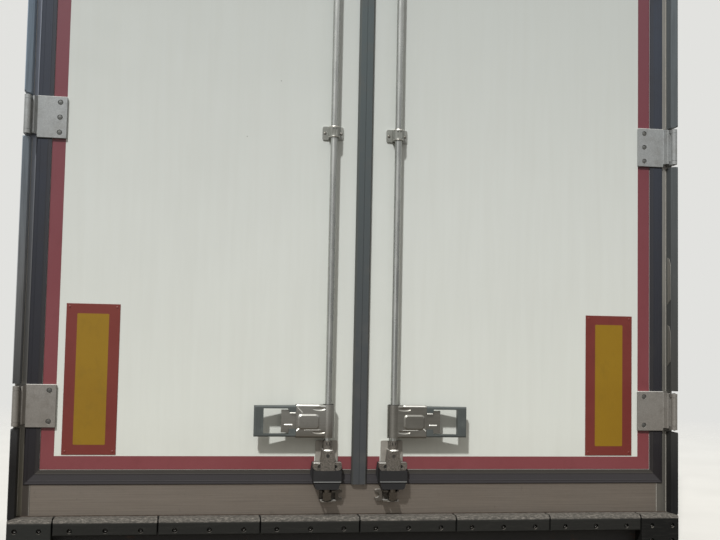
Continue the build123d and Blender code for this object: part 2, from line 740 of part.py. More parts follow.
def spine_hole(middle):
    """The upright oval hole in the spine, through to the rod."""
    half = SPINE_HOLE_WIDTH / 2
    z = TAPE_LINE_LOW + SPINE_HOLE_ABOVE_LINE
    rise = (SPINE_HOLE_HEIGHT - SPINE_HOLE_WIDTH) / 2
    cut = plate(middle - half, middle + half, ROD_PROUD, SPINE_PROUD, z - rise, z + rise)
    for end in (z - rise, z + rise):
        cut += across(middle, end, half, place_y(SPINE_PROUD), ROD_Y)
    return cut


def rod_guard():
    """The black guard below the casting: a thick front over the gasket and two thin wings beside the ears."""
    middle = ROD_FROM_CENTRE
    back = GASKET_PROUD + GUARD_LIFT
    step_z = GUARD_LOW + GUARD_STEP_HEIGHT
    half = GUARD_WIDTH / 2
    half_step = GUARD_STEP_WIDTH / 2
    half_tip = GUARD_TIP_WIDTH / 2
    half_wing = WING_WIDTH / 2
    half_top = WING_TOP_WIDTH / 2
    foot_low = EARS_LOW + EARS_HEIGHT
    upper = [
        (middle - half, step_z), (middle + half, step_z), (middle + half, EARS_LOW), (middle - half, EARS_LOW),
    ]
    lower = [
        (middle - half_step, step_z), (middle - half_tip, GUARD_LOW, GUARD_CORNER),
        (middle + half_tip, GUARD_LOW, GUARD_CORNER), (middle + half_step, step_z),
    ]
    wings = [
        (middle - half_top, foot_low), (middle - half_wing, EARS_LOW),
        (middle - half_wing, GUARD_LOW + WING_LOW), (middle - half_step, step_z), (middle + half_step, step_z),
        (middle + half_wing, GUARD_LOW + WING_LOW), (middle + half_wing, EARS_LOW),
        (middle + half_top, foot_low),
    ]
    body = front_prism(upper, back, GUARD_PROUD) + front_prism(lower, back, GUARD_PROUD - GUARD_STEP)
    body += front_prism(wings, back, EARS_BACK)
    slot = SPINE_LOW_WIDTH / 2 + WING_TO_SPINE
    body -= plate(middle - slot, middle + slot, back, EARS_BACK, EARS_LOW, foot_low)
    return body - rod_bore(GUARD_LOW, EARS_LOW)


def keeper():
    """The lower keeper on the sill: a plate, two forks open to the rear and a claw beside them."""
    high = GUARD_LOW - KEEPER_TO_GUARD
    low = high - KEEPER_HEIGHT
    left = ROD_FROM_CENTRE - KEEPER_INNER
    right = ROD_FROM_CENTRE + KEEPER_OUTER
    base = -GASKET_LIP_GAP
    body = plate(left, right, base, KEEPER_PLATE, low, high)
    slot = ROD_RADIUS + KEEPER_SLOT_CLEARANCE
    for z_low, z_high in ((low, low + KEEPER_FORK), (high - KEEPER_FORK, high)):
        fork = plate(left, right, KEEPER_PLATE, KEEPER_PROUD, z_low, z_high)
        gap = plate(ROD_FROM_CENTRE - slot, ROD_FROM_CENTRE + slot, ROD_PROUD, KEEPER_PROUD + 1, z_low, z_high)
        body += fork - gap - upright(ROD_FROM_CENTRE, ROD_Y, slot, z_low, z_high)
    return body + keeper_claw(left, low, high)


def keeper_claw(right, low, high):
    """The claw on the keeper's inner side, open towards the door's meeting edge."""
    left = right - CLAW_WIDTH
    outline = [(left, low, CLAW_ROUND), (right, low), (right, high), (left, high, CLAW_ROUND)]
    front = place_y(CLAW_PROUD)
    mouth_x = left + CLAW_MOUTH_INSET
    middle = (low + high) / 2
    mouth = across(mouth_x, middle, CLAW_MOUTH_RADIUS, front, FACE_Y + GASKET_LIP_GAP)
    return front_prism(outline, -GASKET_LIP_GAP, CLAW_PROUD) - mouth


# Lock pieces, as on the right door


def lock_rod():
    """The rod with a cam near each end: a square collar and a tongue towards the post."""
    low = TAPE_LINE_LOW - ROD_PAST_TAPE
    high = 2 * DOOR_MIDDLE - low
    body = upright(ROD_FROM_CENTRE, ROD_Y, ROD_RADIUS, low, high)
    half = CAM_COLLAR / 2
    for z, away in ((low + CAM_FROM_END, 1), (high - CAM_FROM_END, -1)):
        body += plate(
            ROD_FROM_CENTRE - CAM_WIDTH / 2, ROD_FROM_CENTRE + CAM_WIDTH / 2, ROD_PROUD - CAM_LENGTH, ROD_PROUD,
            z - CAM_HEIGHT / 2, z + CAM_HEIGHT / 2,
        )
        collar = z + away * CAM_COLLAR_LIFT
        body += plate(
            ROD_FROM_CENTRE - half, ROD_FROM_CENTRE + half, ROD_PROUD - half, ROD_PROUD + half,
            collar - CAM_COLLAR_HEIGHT / 2, collar + CAM_COLLAR_HEIGHT / 2,
        )
    return body


def handle_arm():
    """The hub around the rod, the pressed arm with its raised rib and hollows, and the tongue for the grip."""
    low = ARM_MIDDLE - HANDLE_HEIGHT / 2
    high = ARM_MIDDLE + HANDLE_HEIGHT / 2
    arm = plate(ROD_FROM_CENTRE, ARM_END, ARM_BACK_PROUD, ARM_FRONT_PROUD, low, high)
    arm = fillet(arm.edges().filter_by(Axis.X), ARM_CORNER) + arm_rib()
    for place in LENS_PLACES:
        arm -= arm_lens(ARM_MIDDLE + place)
    hollow = plate(
        ROD_FROM_CENTRE, ARM_END - ARM_WALL, ARM_BACK_PROUD - 1, ARM_FRONT_PROUD - ARM_WALL,
        low + ARM_WALL + ARM_CORNER, high - ARM_WALL - ARM_CORNER,
    )
    hub = upright(ROD_FROM_CENTRE, ROD_Y, HUB_RADIUS, low, high)
    bore = upright(ROD_FROM_CENTRE, ROD_Y, ROD_RADIUS + ROD_CLEARANCE, low, high)
    tongue_back = TONGUE_BACK_PROUD
    tongue_front = tongue_back + TONGUE_THICKNESS
    root = GRIP_HEIGHT / 2 - GRIP_PAD_HEIGHT - TONGUE_CLEARANCE
    broad = GRIP_HEIGHT / 2 - GRIP_RAIL - TONGUE_TO_RAIL
    pads_end = ARM_END + TONGUE_CLEARANCE + GRIP_PAD_WIDTH + TONGUE_CLEARANCE
    body = (arm - hollow) + hub
    for x_low, half in ((ARM_END - ARM_WALL, root), (pads_end, broad)):
        body += plate(x_low, TONGUE_END, tongue_back, tongue_front, ARM_MIDDLE - half, ARM_MIDDLE + half)
    return body - bore


def arm_rib():
    """The raised rib on the arm's front, with sloped sides."""
    run = RIB_HEIGHT * tan(radians(PRESSED_SLOPE))
    left = RIB_START - run
    right = RIB_END + run
    low = ARM_MIDDLE - RIB_BELOW_MIDDLE - run
    high = ARM_MIDDLE + RIB_ABOVE_MIDDLE + run
    corner = RIB_CORNER + run
    outline = [(left, low, corner), (right, low, corner), (right, high, corner), (left, high, corner)]
    return front_prism(outline, ARM_FRONT_PROUD, ARM_FRONT_PROUD + RIB_HEIGHT, PRESSED_SLOPE)


def arm_lens(z):
    """What is cut away for one long pressed hollow with sloped sides."""
    plane = Plane(origin=(LENS_CENTRE, place_y(ARM_FRONT_PROUD), z), x_dir=(1, 0, 0), z_dir=(0, 1, 0))
    return plane * extrude(Ellipse(LENS_WIDTH / 2, LENS_HEIGHT / 2), amount=LENS_DEPTH, taper=PRESSED_SLOPE)


def handle_grip():
    """The black grip: an open frame past the arm's end, deeper and thicker beside the arm."""
    low = ARM_MIDDLE - GRIP_HEIGHT / 2
    high = ARM_MIDDLE + GRIP_HEIGHT / 2
    start = ARM_END + TONGUE_CLEARANCE
    plan = [
        (start, GRIP_BACK_PROUD), (start, GRIP_FRONT_PROUD), (GRIP_END, GRIP_FRONT_PROUD, GRIP_CORNER),
        (GRIP_END, GRIP_TIP_BACK_PROUD),
    ]
    side = [
        (GRIP_BACK_PROUD, low), (GRIP_FRONT_PROUD, low, GRIP_CORNER), (GRIP_FRONT_PROUD, high, GRIP_CORNER),
        (GRIP_BACK_PROUD, high),
    ]
    body = prism(plan, low, high) & side_prism(side, start, GRIP_END)
    windows = (
        (start - 1, start + GRIP_PAD_WIDTH, GRIP_PAD_HEIGHT),
        (start + GRIP_PAD_WIDTH, GRIP_END - GRIP_BAR, GRIP_RAIL),
    )
    for x_low, x_high, rail in windows:
        body -= plate(x_low, x_high, GRIP_BACK_PROUD - 1, GRIP_FRONT_PROUD + 1, low + rail, high - rail)
    return body


os.makedirs("parts", exist_ok=True)

save(sill(), "sill")
save(header(), "header")
save(drip_rail(), "drip_rail")
save(marker_lamps(), "marker_lamps")
save(bumper_beam(), "bumper_beam")
for number in range(PAD_COUNT):
    save(bumper_pad(number), f"bumper_pad_{number + 1}")

# Each side's own pieces: name and builder, modelled on the right
SIDE_PIECES = (
    ("post", post),
    ("hinge_brackets", hinge_brackets),
    ("post_cover", post_cover),
    ("bumper_end", bumper_end),
    ("keepers", lambda: ends(keeper)),
    ("door_panel", door_panel),
    ("gasket", gasket),
    ("centre_seal", centre_seal),
    ("contour_tape", contour_tape),
    ("marking_plate", marking_plate),
    ("hinge_leaves", hinge_leaves),
    ("rod_guide", rod_guide),
    ("rod_bearings", lambda: ends(rod_bearing)),
    ("rod_guards", lambda: ends(rod_guard)),
    ("lock_rod", lock_rod),
    ("handle_arm", handle_arm),
    ("handle_grip", handle_grip),
)
for piece, build in SIDE_PIECES:
    modelled = build()
    for side, sign in SIDES:
        save(sided(modelled, sign), f"{piece}_{side}")
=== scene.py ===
import math

import bmesh
import bpy
from mathutils import Matrix, Vector


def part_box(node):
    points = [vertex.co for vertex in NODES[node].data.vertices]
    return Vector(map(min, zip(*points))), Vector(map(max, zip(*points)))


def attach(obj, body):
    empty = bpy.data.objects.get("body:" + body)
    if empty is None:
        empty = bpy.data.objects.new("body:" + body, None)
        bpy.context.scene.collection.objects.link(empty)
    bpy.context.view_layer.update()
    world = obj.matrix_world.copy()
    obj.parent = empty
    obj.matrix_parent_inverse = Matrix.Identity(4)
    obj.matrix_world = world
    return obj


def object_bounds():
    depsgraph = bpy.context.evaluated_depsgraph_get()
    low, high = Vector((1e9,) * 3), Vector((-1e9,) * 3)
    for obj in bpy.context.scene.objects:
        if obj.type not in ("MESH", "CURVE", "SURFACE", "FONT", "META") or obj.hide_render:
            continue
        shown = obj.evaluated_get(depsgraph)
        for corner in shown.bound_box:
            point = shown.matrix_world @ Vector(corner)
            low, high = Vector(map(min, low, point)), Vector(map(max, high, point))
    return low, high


# Rear door frame of a refrigerated semi-trailer. Metres, X to the right seen from behind, Y forward, Z up.

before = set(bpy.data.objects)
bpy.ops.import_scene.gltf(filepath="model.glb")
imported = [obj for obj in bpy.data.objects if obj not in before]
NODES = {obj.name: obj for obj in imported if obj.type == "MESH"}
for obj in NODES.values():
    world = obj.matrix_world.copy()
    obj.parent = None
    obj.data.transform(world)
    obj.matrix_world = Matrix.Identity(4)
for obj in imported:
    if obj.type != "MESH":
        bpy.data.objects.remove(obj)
CAD_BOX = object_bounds()
SIDES = (("left", -1), ("right", 1))

# Places, from the frame
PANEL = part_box("door_panel_right")
FACE_Y = PANEL[0].y
PANEL_LOW = PANEL[0].z
PANEL_HIGH = PANEL[1].z
PANEL_BACK_Y = PANEL[1].y
PANEL_INNER = PANEL[0].x
PANEL_OUTER = PANEL[1].x
DOOR_MIDDLE = (PANEL_LOW + PANEL_HIGH) / 2
HALF_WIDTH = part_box("post_right")[1].x
OPENING_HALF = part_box("post_right")[0].x
SILL_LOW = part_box("sill")[0].z
SILL_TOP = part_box("sill")[1].z
HEADER_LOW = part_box("header")[0].z
FRAME_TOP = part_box("header")[1].z
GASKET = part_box("gasket_right")
GASKET_LOW = GASKET[0].z
GASKET_HIGH = GASKET[1].z
GASKET_OUTER = GASKET[1].x
GASKET_Y = GASKET[0].y
ROD_X = (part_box("lock_rod_right")[0].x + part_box("lock_rod_right")[1].x) / 2
HINGE_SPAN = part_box("hinge_leaves_right")
HINGE_LEAF_HEIGHT = 0.160
HINGE_MIDDLES = (
    HINGE_SPAN[0].z + HINGE_LEAF_HEIGHT / 2,
    DOOR_MIDDLE,
    HINGE_SPAN[1].z - HINGE_LEAF_HEIGHT / 2,
)
FLOOR_Z = CAD_BOX[0].z - 0.004
END_BLOCK_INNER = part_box("bumper_end_right")[0].x

# Scales that draw a texture out along one axis
ALONG_X = (3, 420, 420)
ALONG_Z = (420, 420, 3)

# The photograph's camera, fitted to the marking plates, tapes, hinges and posts
CAMERA_PLACE = (-0.6502, -4.1413, 0.6128)
CAMERA_YAW = 9.119
CAMERA_PITCH = 3.771
CAMERA_ROLL = 1.12
CAMERA_LENS = 51.34
SENSOR_WIDTH = 36.0


# Materials


def srgb(red, green, blue):
    """Screen values from 0 to 255 as the linear colour that a shader takes."""
    linear = []
    for value in (red, green, blue):
        share = value / 255
        linear.append(share / 12.92 if share <= 0.04045 else ((share + 0.055) / 1.055) ** 2.4)
    return (*linear, 1.0)


class Graph:
    """A node tree being built. Each method adds one node or a few and gives back the output."""

    def __init__(self, tree, coordinates):
        self.nodes = tree.nodes
        self.links = tree.links
        self.place = self.nodes.new("ShaderNodeTexCoord").outputs[coordinates]

    def wired(self, node, sockets):
        """The node, its sockets linked or set to constants. One that is given None stays as it was."""
        for name, value in sockets.items():
            if isinstance(value, bpy.types.NodeSocket):
                self.links.new(value, node.inputs[name])
            elif value is not None:
                node.inputs[name].default_value = value
        return node

    def axis(self, name, vector=None):
        node = self.nodes.new("ShaderNodeSeparateXYZ")
        return self.wired(node, {"Vector": vector or self.place}).outputs[name]

    def math(self, operation, first, second=0.0):
        node = self.nodes.new("ShaderNodeMath")
        node.operation = operation
        return self.wired(node, {0: first, 1: second}).outputs["Value"]

    def length(self, first, second):
        """The length of a line that runs this far along two axes."""
        squares = [self.math("MULTIPLY", value, value) for value in (first, second)]
        return self.math("SQRT", self.math("ADD", *squares))

    def remap(self, value, low, high, to_low=0.0, to_high=1.0, how="LINEAR"):
        node = self.nodes.new("ShaderNodeMapRange")
        node.interpolation_type = how
        sockets = {"Value": value, "From Min": low, "From Max": high, "To Min": to_low, "To Max": to_high}
        return self.wired(node, sockets).outputs["Result"]

    def ramp(self, value, *stops):
        """Colours by value; each stop is a position and a colour."""
        node = self.nodes.new("ShaderNodeValToRGB")
        elements = node.color_ramp.elements
        while len(elements) < len(stops):
            elements.new(0.5)
        for element, (position, colour) in zip(elements, stops):
            element.position = position
            element.color = colour
        self.links.new(value, node.inputs["Fac"])
        return node.outputs["Color"]

    def mix(self, share, low, high):
        """The first colour at share 0, the second at share 1."""
        node = self.nodes.new("ShaderNodeMix")
        node.data_type = "RGBA"
        return self.wired(node, {0: share, 6: low, 7: high}).outputs[2]


class Finish(Graph):
    """A material being built, on the object's own coordinates."""

    def __init__(self, name, roughness=0.5, metallic=0.0, coat=0.0, specular=0.5):
        self.material = bpy.data.materials.new(name)
        self.material.use_nodes = True
        super().__init__(self.material.node_tree, "Object")
        self.shader = self.nodes["Principled BSDF"]
        self.wired(self.shader, {"Roughness": roughness, "Metallic": metallic})
        self.wired(self.shader, {"Coat Weight": coat, "Specular IOR Level": specular})

    def stretched(self, x, y, z):
        """The place, its axes scaled, so that a texture runs along one of them."""
        node = self.nodes.new("ShaderNodeMapping")
        return self.wired(node, {"Vector": self.place, "Scale": (x, y, z)}).outputs["Vector"]

    def noise(self, scale, detail=3.0, roughness=0.5, at=None):
        node = self.nodes.new("ShaderNodeTexNoise")
        sockets = {"Vector": at or self.place, "Scale": scale, "Detail": detail, "Roughness": roughness}
        return self.wired(node, sockets).outputs["Fac"]

    def cells(self, scale):
        """How far a place is from the edge of its cell, in a pattern of cells."""
        node = self.nodes.new("ShaderNodeTexVoronoi")
        node.feature = "DISTANCE_TO_EDGE"
        return self.wired(node, {"Vector": self.place, "Scale": scale}).outputs["Distance"]

    def facing(self, name):
        """One axis of the surface's own direction."""
        return self.axis(name, self.nodes.new("ShaderNodeNewGeometry").outputs["Normal"])

    def bump(self, height, depth, after=None):
        """Surface relief, its depth in metres, on top of another where one is given."""
        sockets = {"Height": height, "Distance": depth, "Normal": after}
        return self.wired(self.nodes.new("ShaderNodeBump"), sockets).outputs["Normal"]

    def done(self, colour, roughness=None, normal=None):
        self.wired(self.shader, {"Base Color": colour, "Roughness": roughness, "Normal": normal})
        return self.material


# Small dark flecks on the left door's skin, their x and z
SPECKS = ((-0.338, 1.617), (-0.466, 1.389))


def gelcoat():
    """The doors' white skin: soft gloss, a trace of vertical streaks, a faint waviness and grain. It is
    painted darker higher up, as painted shade for the light falling off upward.
    """
    f = Finish("door_skin", roughness=0.34, coat=0.15)
    # Painted shade: the skin gets darker higher up, the light's fall-off painted into the colour
    height = f.remap(f.axis("Z"), 0.1, 2.0)
    base = f.ramp(height, (0.0, srgb(212, 215, 208)), (0.5, srgb(205, 209, 205)), (1.0, srgb(189, 194, 191)))
    streaks = f.remap(f.noise(6.0, 4.0, 0.6, f.stretched(6, 6, 0.35)), 0.35, 0.75, 0.0, 0.10)
    clouds = f.remap(f.noise(1.3, 3.0), 0.3, 0.7, 0.0, 0.08)
    soiled = f.mix(streaks, base, srgb(172, 172, 162))
    colour = f.mix(clouds, soiled, srgb(186, 190, 188))
    low_dirt = f.remap(f.axis("Z"), 0.30, 0.09, 0.0, 0.16)
    colour = f.mix(f.math("MULTIPLY", low_dirt, f.noise(14.0, 5.0)), colour, srgb(128, 120, 104))
    for x, z in SPECKS:
        far = f.length(f.math("SUBTRACT", f.axis("X"), x), f.math("SUBTRACT", f.axis("Z"), z))
        colour = f.mix(f.remap(far, 0.0015, 0.0032, 0.55, 0.0), colour, srgb(96, 92, 84))
    peel = f.bump(f.noise(260.0, 2.0), 0.00006)
    waves = f.bump(f.noise(2.2, 1.0), 0.0016, peel)
    return f.done(colour, f.remap(f.noise(9.0, 4.0), 0.3, 0.7, 0.28, 0.40), waves)


def skin_inside():
    """The doors' inner skin: matt white with scuffs from pallets."""
    f = Finish("inner_skin", roughness=0.5)
    scuffs = f.remap(f.noise(20.0, 6.0, 0.7, f.stretched(1, 1, 3)), 0.55, 0.8, 0.0, 0.35)
    colour = f.mix(scuffs, srgb(206, 207, 202), srgb(150, 148, 142))
    return f.done(colour, None, f.bump(f.noise(420.0, 2.0), 0.0001))


def rubber(name, low_colour, high_colour, dust, bevel=None):
    """Extruded rubber, dusty in patches, with fine lines. The gasket's bevel beside the tape is paler."""
    f = Finish(name, roughness=0.68, specular=0.22)
    base = f.mix(f.remap(f.axis("Z"), 0.1, 1.9), low_colour, high_colour)
    if bevel:
        aside = f.math("SUBTRACT", GASKET_OUTER, f.math("ABSOLUTE", f.axis("X")))
        below = f.math("SUBTRACT", DOOR_MIDDLE - GASKET_LOW, from_middle(f))
        inside = f.math("MINIMUM", aside, below)
        across = f.remap(f.math("SUBTRACT", aside, below), -0.002, 0.002)
        base = f.mix(across, base, srgb(57, 55, 57))
        share = f.remap(across, 0.0, 1.0, 0.25, 0.9)
        base = f.mix(f.math("MULTIPLY", f.remap(inside, 0.038, 0.042), share), base, bevel)
    patches = f.remap(f.noise(11.0, 5.0, 0.6), 0.52, 0.85, 0.0, 0.40)
    colour = f.mix(patches, base, dust)
    lines = f.noise(1.0, 2.0, 0.6, f.stretched(*ALONG_Z))
    grain = f.bump(f.noise(600.0, 2.0), 0.00012)
    return f.done(colour, f.remap(patches, 0.0, 0.40, 0.60, 0.80), f.bump(lines, 0.0005, grain))


def from_middle(f):
    """How far a place is above or below the doors' middle."""
    return f.math("ABSOLUTE", f.math("SUBTRACT", f.axis("Z"), DOOR_MIDDLE))


def on_left(f, left=1.0, right=0.0):
    """One value on the left door's side, another on the right, with a soft change at the middle."""
    return f.remap(f.axis("X"), -0.1, 0.1, left, right)


def reflective(name, base, light, dark, higher=None):
    """Retroreflective film: a fine honeycomb under a clear face, with cloudy fading, paler higher up."""
    f = Finish(name, roughness=0.38, coat=0.25)
    comb = f.remap(f.cells(330.0), 0.0, 0.12)
    faded = f.remap(f.noise(3.4, 4.0, 0.6), 0.35, 0.75, 0.0, 0.75)
    colour = f.mix(faded, base, light)
    colour = f.mix(f.remap(f.axis("Z"), 0.3, 1.9, 0.0, 0.8), colour, higher or light)
    grime = f.remap(f.noise(16.0, 5.0, 0.65, f.stretched(1, 1, 0.6)), 0.55, 0.85, 0.0, 0.5)
    colour = f.mix(grime, colour, dark)
    colour = f.mix(f.math("MULTIPLY", f.math("SUBTRACT", 1.0, comb), 0.25), colour, light)
    return f.done(colour, None, f.bump(comb, 0.00005))


def brushed(name, low_colour, high_colour, along, metallic=0.75, roughness=0.42, painted_light_and_shade=False):
    """Brushed stainless sheet: fine lines along one axis, smears and dark scuffs. The posts are also darker
    towards the bottom, more on the left, and painted paler higher up as painted light; the left post is
    painted as in shade.
    """
    f = Finish(name, roughness=roughness, metallic=metallic)
    lines = f.noise(1.0, 5.0, 0.75, f.stretched(*along))
    smears = f.remap(f.noise(4.5, 5.0, 0.6), 0.30, 0.78)
    colour = f.mix(smears, low_colour, high_colour)
    if painted_light_and_shade:
        # Darker towards the bottom, more on the left side
        darker_low = f.math("MULTIPLY", f.remap(f.axis("Z"), 0.14, 0.36, 0.7, 0.0), on_left(f, 1.0, 0.4))
        colour = f.mix(darker_low, colour, srgb(92, 88, 82))
        # Painted light: the posts painted paler higher up
        colour = f.mix(f.remap(f.axis("Z"), 0.30, 1.00, 0.0, 0.5), colour, srgb(198, 196, 190))
    colour = f.mix(f.remap(lines, 0.35, 0.7, 0.0, 0.35), colour, srgb(70, 64, 58))
    scuffs = f.remap(f.noise(26.0, 6.0, 0.7), 0.62, 0.85, 0.0, 0.5)
    colour = f.mix(scuffs, colour, srgb(64, 60, 55))
    if painted_light_and_shade:
        colour = shaded_post(f, colour)
    rough = f.remap(smears, 0.0, 1.0, roughness - 0.08, roughness + 0.12)
    return f.done(colour, rough, f.bump(lines, 0.00022))


def shaded_post(f, colour):
    """The left post, painted as in shade: dark where it shows between the gasket and its cover, and outside
    the gasket a duller tone that turns bluish higher up, a painted sky reflection.
    """
    high = f.remap(f.axis("Z"), 0.1, 1.6)
    edge = f.math("SUBTRACT", 0.0, f.axis("X"))
    low = f.mix(high, srgb(72, 66, 61), srgb(92, 96, 104))
    colour = f.mix(f.remap(edge, OPENING_HALF - 0.002, OPENING_HALF + 0.010, 0.0, 0.85), colour, low)
    # Painted sky reflection: bluish higher up on the left post's outer part
    outer = f.mix(high, srgb(114, 110, 98), srgb(136, 142, 154))
    return f.mix(f.remap(edge, GASKET_OUTER + 0.001, GASKET_OUTER + 0.003, 0.0, 0.9), colour, outer)


def handle_metal():
    """The handles' pressed steel: lines along the arm, browner below, and painted light beside the left hub,
    where the hub's inner edge is painted pale.
    """
    f = Finish("handle_steel", roughness=0.36, metallic=0.95)
    lines = f.noise(1.0, 5.0, 0.75, f.stretched(*ALONG_X))
    height = f.remap(f.axis("Z"), 0.225, 0.355)
    stops = (0.0, srgb(128, 124, 115)), (0.45, srgb(158, 156, 150)), (1.0, srgb(170, 170, 164))
    colour = f.ramp(height, *stops)
    smears = f.remap(f.noise(30.0, 5.0, 0.6), 0.45, 0.80, 0.0, 0.35)
    colour = f.mix(smears, colour, srgb(112, 110, 104))
    # Painted light: the left hub's inner edge painted pale, like the lit door beside it
    colour = f.mix(f.remap(f.axis("X"), -0.1150, -0.1120), colour, srgb(206, 206, 200))
    colour = f.mix(f.remap(f.axis("X"), 0.0, 0.05), colour, srgb(140, 138, 131))
    colour = f.mix(f.remap(lines, 0.35, 0.7, 0.0, 0.25), colour, srgb(86, 84, 78))
    return f.done(colour, f.remap(smears, 0.0, 0.35, 0.33, 0.44), f.bump(lines, 0.00022))


def cast_metal(
    name, low_colour, high_colour, speckle, metallic=0.55, roughness=0.5, grain=0.0004, wear_and_top_light=0.0, pitch=230.0,
    near_door_light=0.0,
):
    """Cast metal: pitted grain and dark speckles. Faces that look up are painted paler, as painted light from
    above, and places close to the door are painted paler, as painted light that lifts their shade.
    """
    f = Finish(name, roughness=roughness, metallic=metallic)
    base = f.mix(f.remap(f.axis("Z"), 0.3, 1.6), low_colour, high_colour)
    pits = f.noise(pitch, 3.0, 0.65)
    colour = f.mix(f.remap(pits, 0.42, 0.66, speckle, 0.0), base, srgb(48, 45, 40))
    stains = f.remap(f.noise(19.0, 5.0, 0.6), 0.5, 0.8, 0.0, 0.4)
    colour = f.mix(stains, colour, srgb(92, 86, 76))
    # Painted light: places close to the door painted paler, lifting the shade they lie in
    lit_near_door = f.remap(f.axis("Y"), FACE_Y - 0.024, FACE_Y - 0.010, 0.0, near_door_light)
    colour = f.mix(lit_near_door, colour, srgb(158, 154, 146))
    # Painted light: faces that look up painted paler, a painted highlight on top edges
    colour = f.mix(f.remap(f.facing("Z"), 0.16, 0.50, 0.0, wear_and_top_light), colour, srgb(222, 220, 214))
    rough = f.remap(f.noise(40.0, 4.0), 0.3, 0.7, roughness - 0.1, roughness + 0.15)
    return f.done(colour, rough, f.bump(pits, grain))


ROD_DARK_FROM = 1.364


def galvanised_tube():
    """The lock rods: drawn and galvanised, fine lines along them, pale zinc blooms, and ends painted dark as
    painted shade.
    """
    f = Finish("rod_steel", roughness=0.28, metallic=0.95)
    lines = f.noise(1.0, 3.0, 0.6, f.stretched(420, 420, 2))
    bloom = f.remap(f.noise(22.0, 4.0, 0.6, f.stretched(1, 1, 0.3)), 0.40, 0.72, 0.0, 0.6)
    colour = f.mix(bloom, srgb(186, 188, 184), srgb(204, 206, 200))
    colour = f.mix(f.remap(lines, 0.40, 0.68, 0.0, 0.4), colour, srgb(118, 118, 112))
    # Painted shade: the rods' ends painted dark where they sit in the keepers
    shaded_ends = f.remap(from_middle(f), ROD_DARK_FROM, ROD_DARK_FROM + 0.004)
    colour = f.mix(shaded_ends, colour, srgb(98, 92, 84))
    return f.done(colour, f.remap(bloom, 0.0, 0.6, 0.23, 0.36), f.bump(lines, 0.0002))


def moulded(name, colour, wear_and_top_light, roughness):
    """Moulded plastic with a fine spark-eroded grain and paler rubbed places."""
    f = Finish(name, roughness=roughness, specular=0.4)
    rubbed = f.remap(f.noise(15.0, 5.0, 0.65), 0.50, 0.82, 0.0, 0.6)
    rough = f.remap(rubbed, 0.0, 0.6, roughness - 0.06, roughness + 0.12)
    return f.done(f.mix(rubbed, colour, wear_and_top_light), rough, f.bump(f.noise(480.0, 2.0), 0.0002))


def weathered_cover():
    """The corner covers' plastic, bluer and paler higher up, streaked by rain; the left one is painted paler
    and bluer, as painted light.
    """
    f = Finish("cover_plastic", roughness=0.52, specular=0.25)
    height = f.remap(f.axis("Z"), 0.0, 2.0)
    right = f.ramp(height, (0.02, srgb(20, 20, 21)), (0.22, srgb(62, 62, 60)), (1.0, srgb(92, 99, 103)))
    # Painted light: the left cover's ramp is paler and bluer than the right one's
    left = f.ramp(height, (0.06, srgb(40, 40, 40)), (0.40, srgb(130, 133, 136)), (1.0, srgb(138, 158, 178)))
    base = f.mix(on_left(f), right, left)
    streaks = f.remap(f.noise(1.0, 5.0, 0.65, f.stretched(160, 160, 5)), 0.45, 0.75, 0.0, 0.40)
    colour = f.mix(streaks, base, srgb(44, 44, 43))
    chalk = f.remap(f.noise(30.0, 5.0, 0.7), 0.60, 0.85, 0.0, 0.25)
    colour = f.mix(chalk, colour, srgb(104, 106, 104))
    return f.done(colour, None, f.bump(f.noise(340.0, 3.0), 0.0003))


def worn_rubber():
    """The dock bumper: black, scraped in front, torn and dusty on top, darker on the right end block."""
    f = Finish("bumper_rubber", roughness=0.80, specular=0.15)
    scrapes = f.remap(f.noise(1.0, 5.0, 0.7, f.stretched(14, 60, 160)), 0.52, 0.80, 0.0, 0.35)
    black = srgb(34, 34, 32)
    for direction, end in ((-1, srgb(38, 39, 37)), (1, srgb(19, 19, 18))):
        outward = f.math("MULTIPLY", f.axis("X"), direction)
        black = f.mix(f.remap(outward, END_BLOCK_INNER - 0.002, END_BLOCK_INNER), black, end)
    front = f.mix(scrapes, black, srgb(62, 61, 57))
    torn = f.noise(1.0, 6.0, 0.75, f.stretched(70, 150, 150))
    dusty = f.ramp(torn, (0.34, srgb(62, 60, 57)), (0.50, srgb(84, 81, 76)), (0.66, srgb(126, 121, 114)))
    upward = f.remap(f.facing("Z"), 0.24, 0.42)
    colour = f.mix(upward, front, dusty)
    shallow = f.bump(f.noise(120.0, 4.0, 0.6), 0.0007)
    deep = f.bump(f.math("MULTIPLY", torn, upward), 0.0025, shallow)
    return f.done(colour, None, deep)


def chassis_paint():
    """Black chassis paint with dust and rust at its edges."""
    f = Finish("beam_paint", roughness=0.55)
    rust = f.remap(f.noise(18.0, 6.0, 0.7), 0.60, 0.74, 0.0, 0.8)
    colour = f.mix(f.noise(5.0, 4.0), srgb(20, 20, 21), srgb(38, 37, 35))
    colour = f.mix(rust, colour, srgb(66, 42, 28))
    return f.done(colour, None, f.bump(f.noise(160.0, 4.0), 0.0005))


def lens_red():
    """The end-outline lamps' lens."""
    f = Finish("lamp_lens", roughness=0.12, coat=0.6)
    prisms = f.cells(190.0)
    colour = f.mix(f.remap(prisms, 0.0, 0.3), srgb(120, 10, 12), srgb(190, 26, 24))
    return f.done(colour, None, f.bump(prisms, 0.0008))


def aluminium():
    f = Finish("aluminium_trim", roughness=0.36, metallic=0.8)
    lines = f.noise(1.0, 4.0, 0.7, f.stretched(6, 300, 300))
    colour = f.mix(f.remap(lines, 0.35, 0.7), srgb(150, 150, 147), srgb(188, 188, 184))
    return f.done(colour, None, f.bump(lines, 0.0002))


def zinc():
    """Bolt heads, screws and washers."""
    f = Finish("zinc", roughness=0.40, metallic=0.8)
    spots = f.remap(f.noise(180.0, 4.0, 0.6), 0.40, 0.70)
    colour = f.mix(spots, srgb(118, 114, 106), srgb(168, 166, 160))
    return f.done(colour, None, f.bump(f.noise(500.0, 2.0), 0.0002))


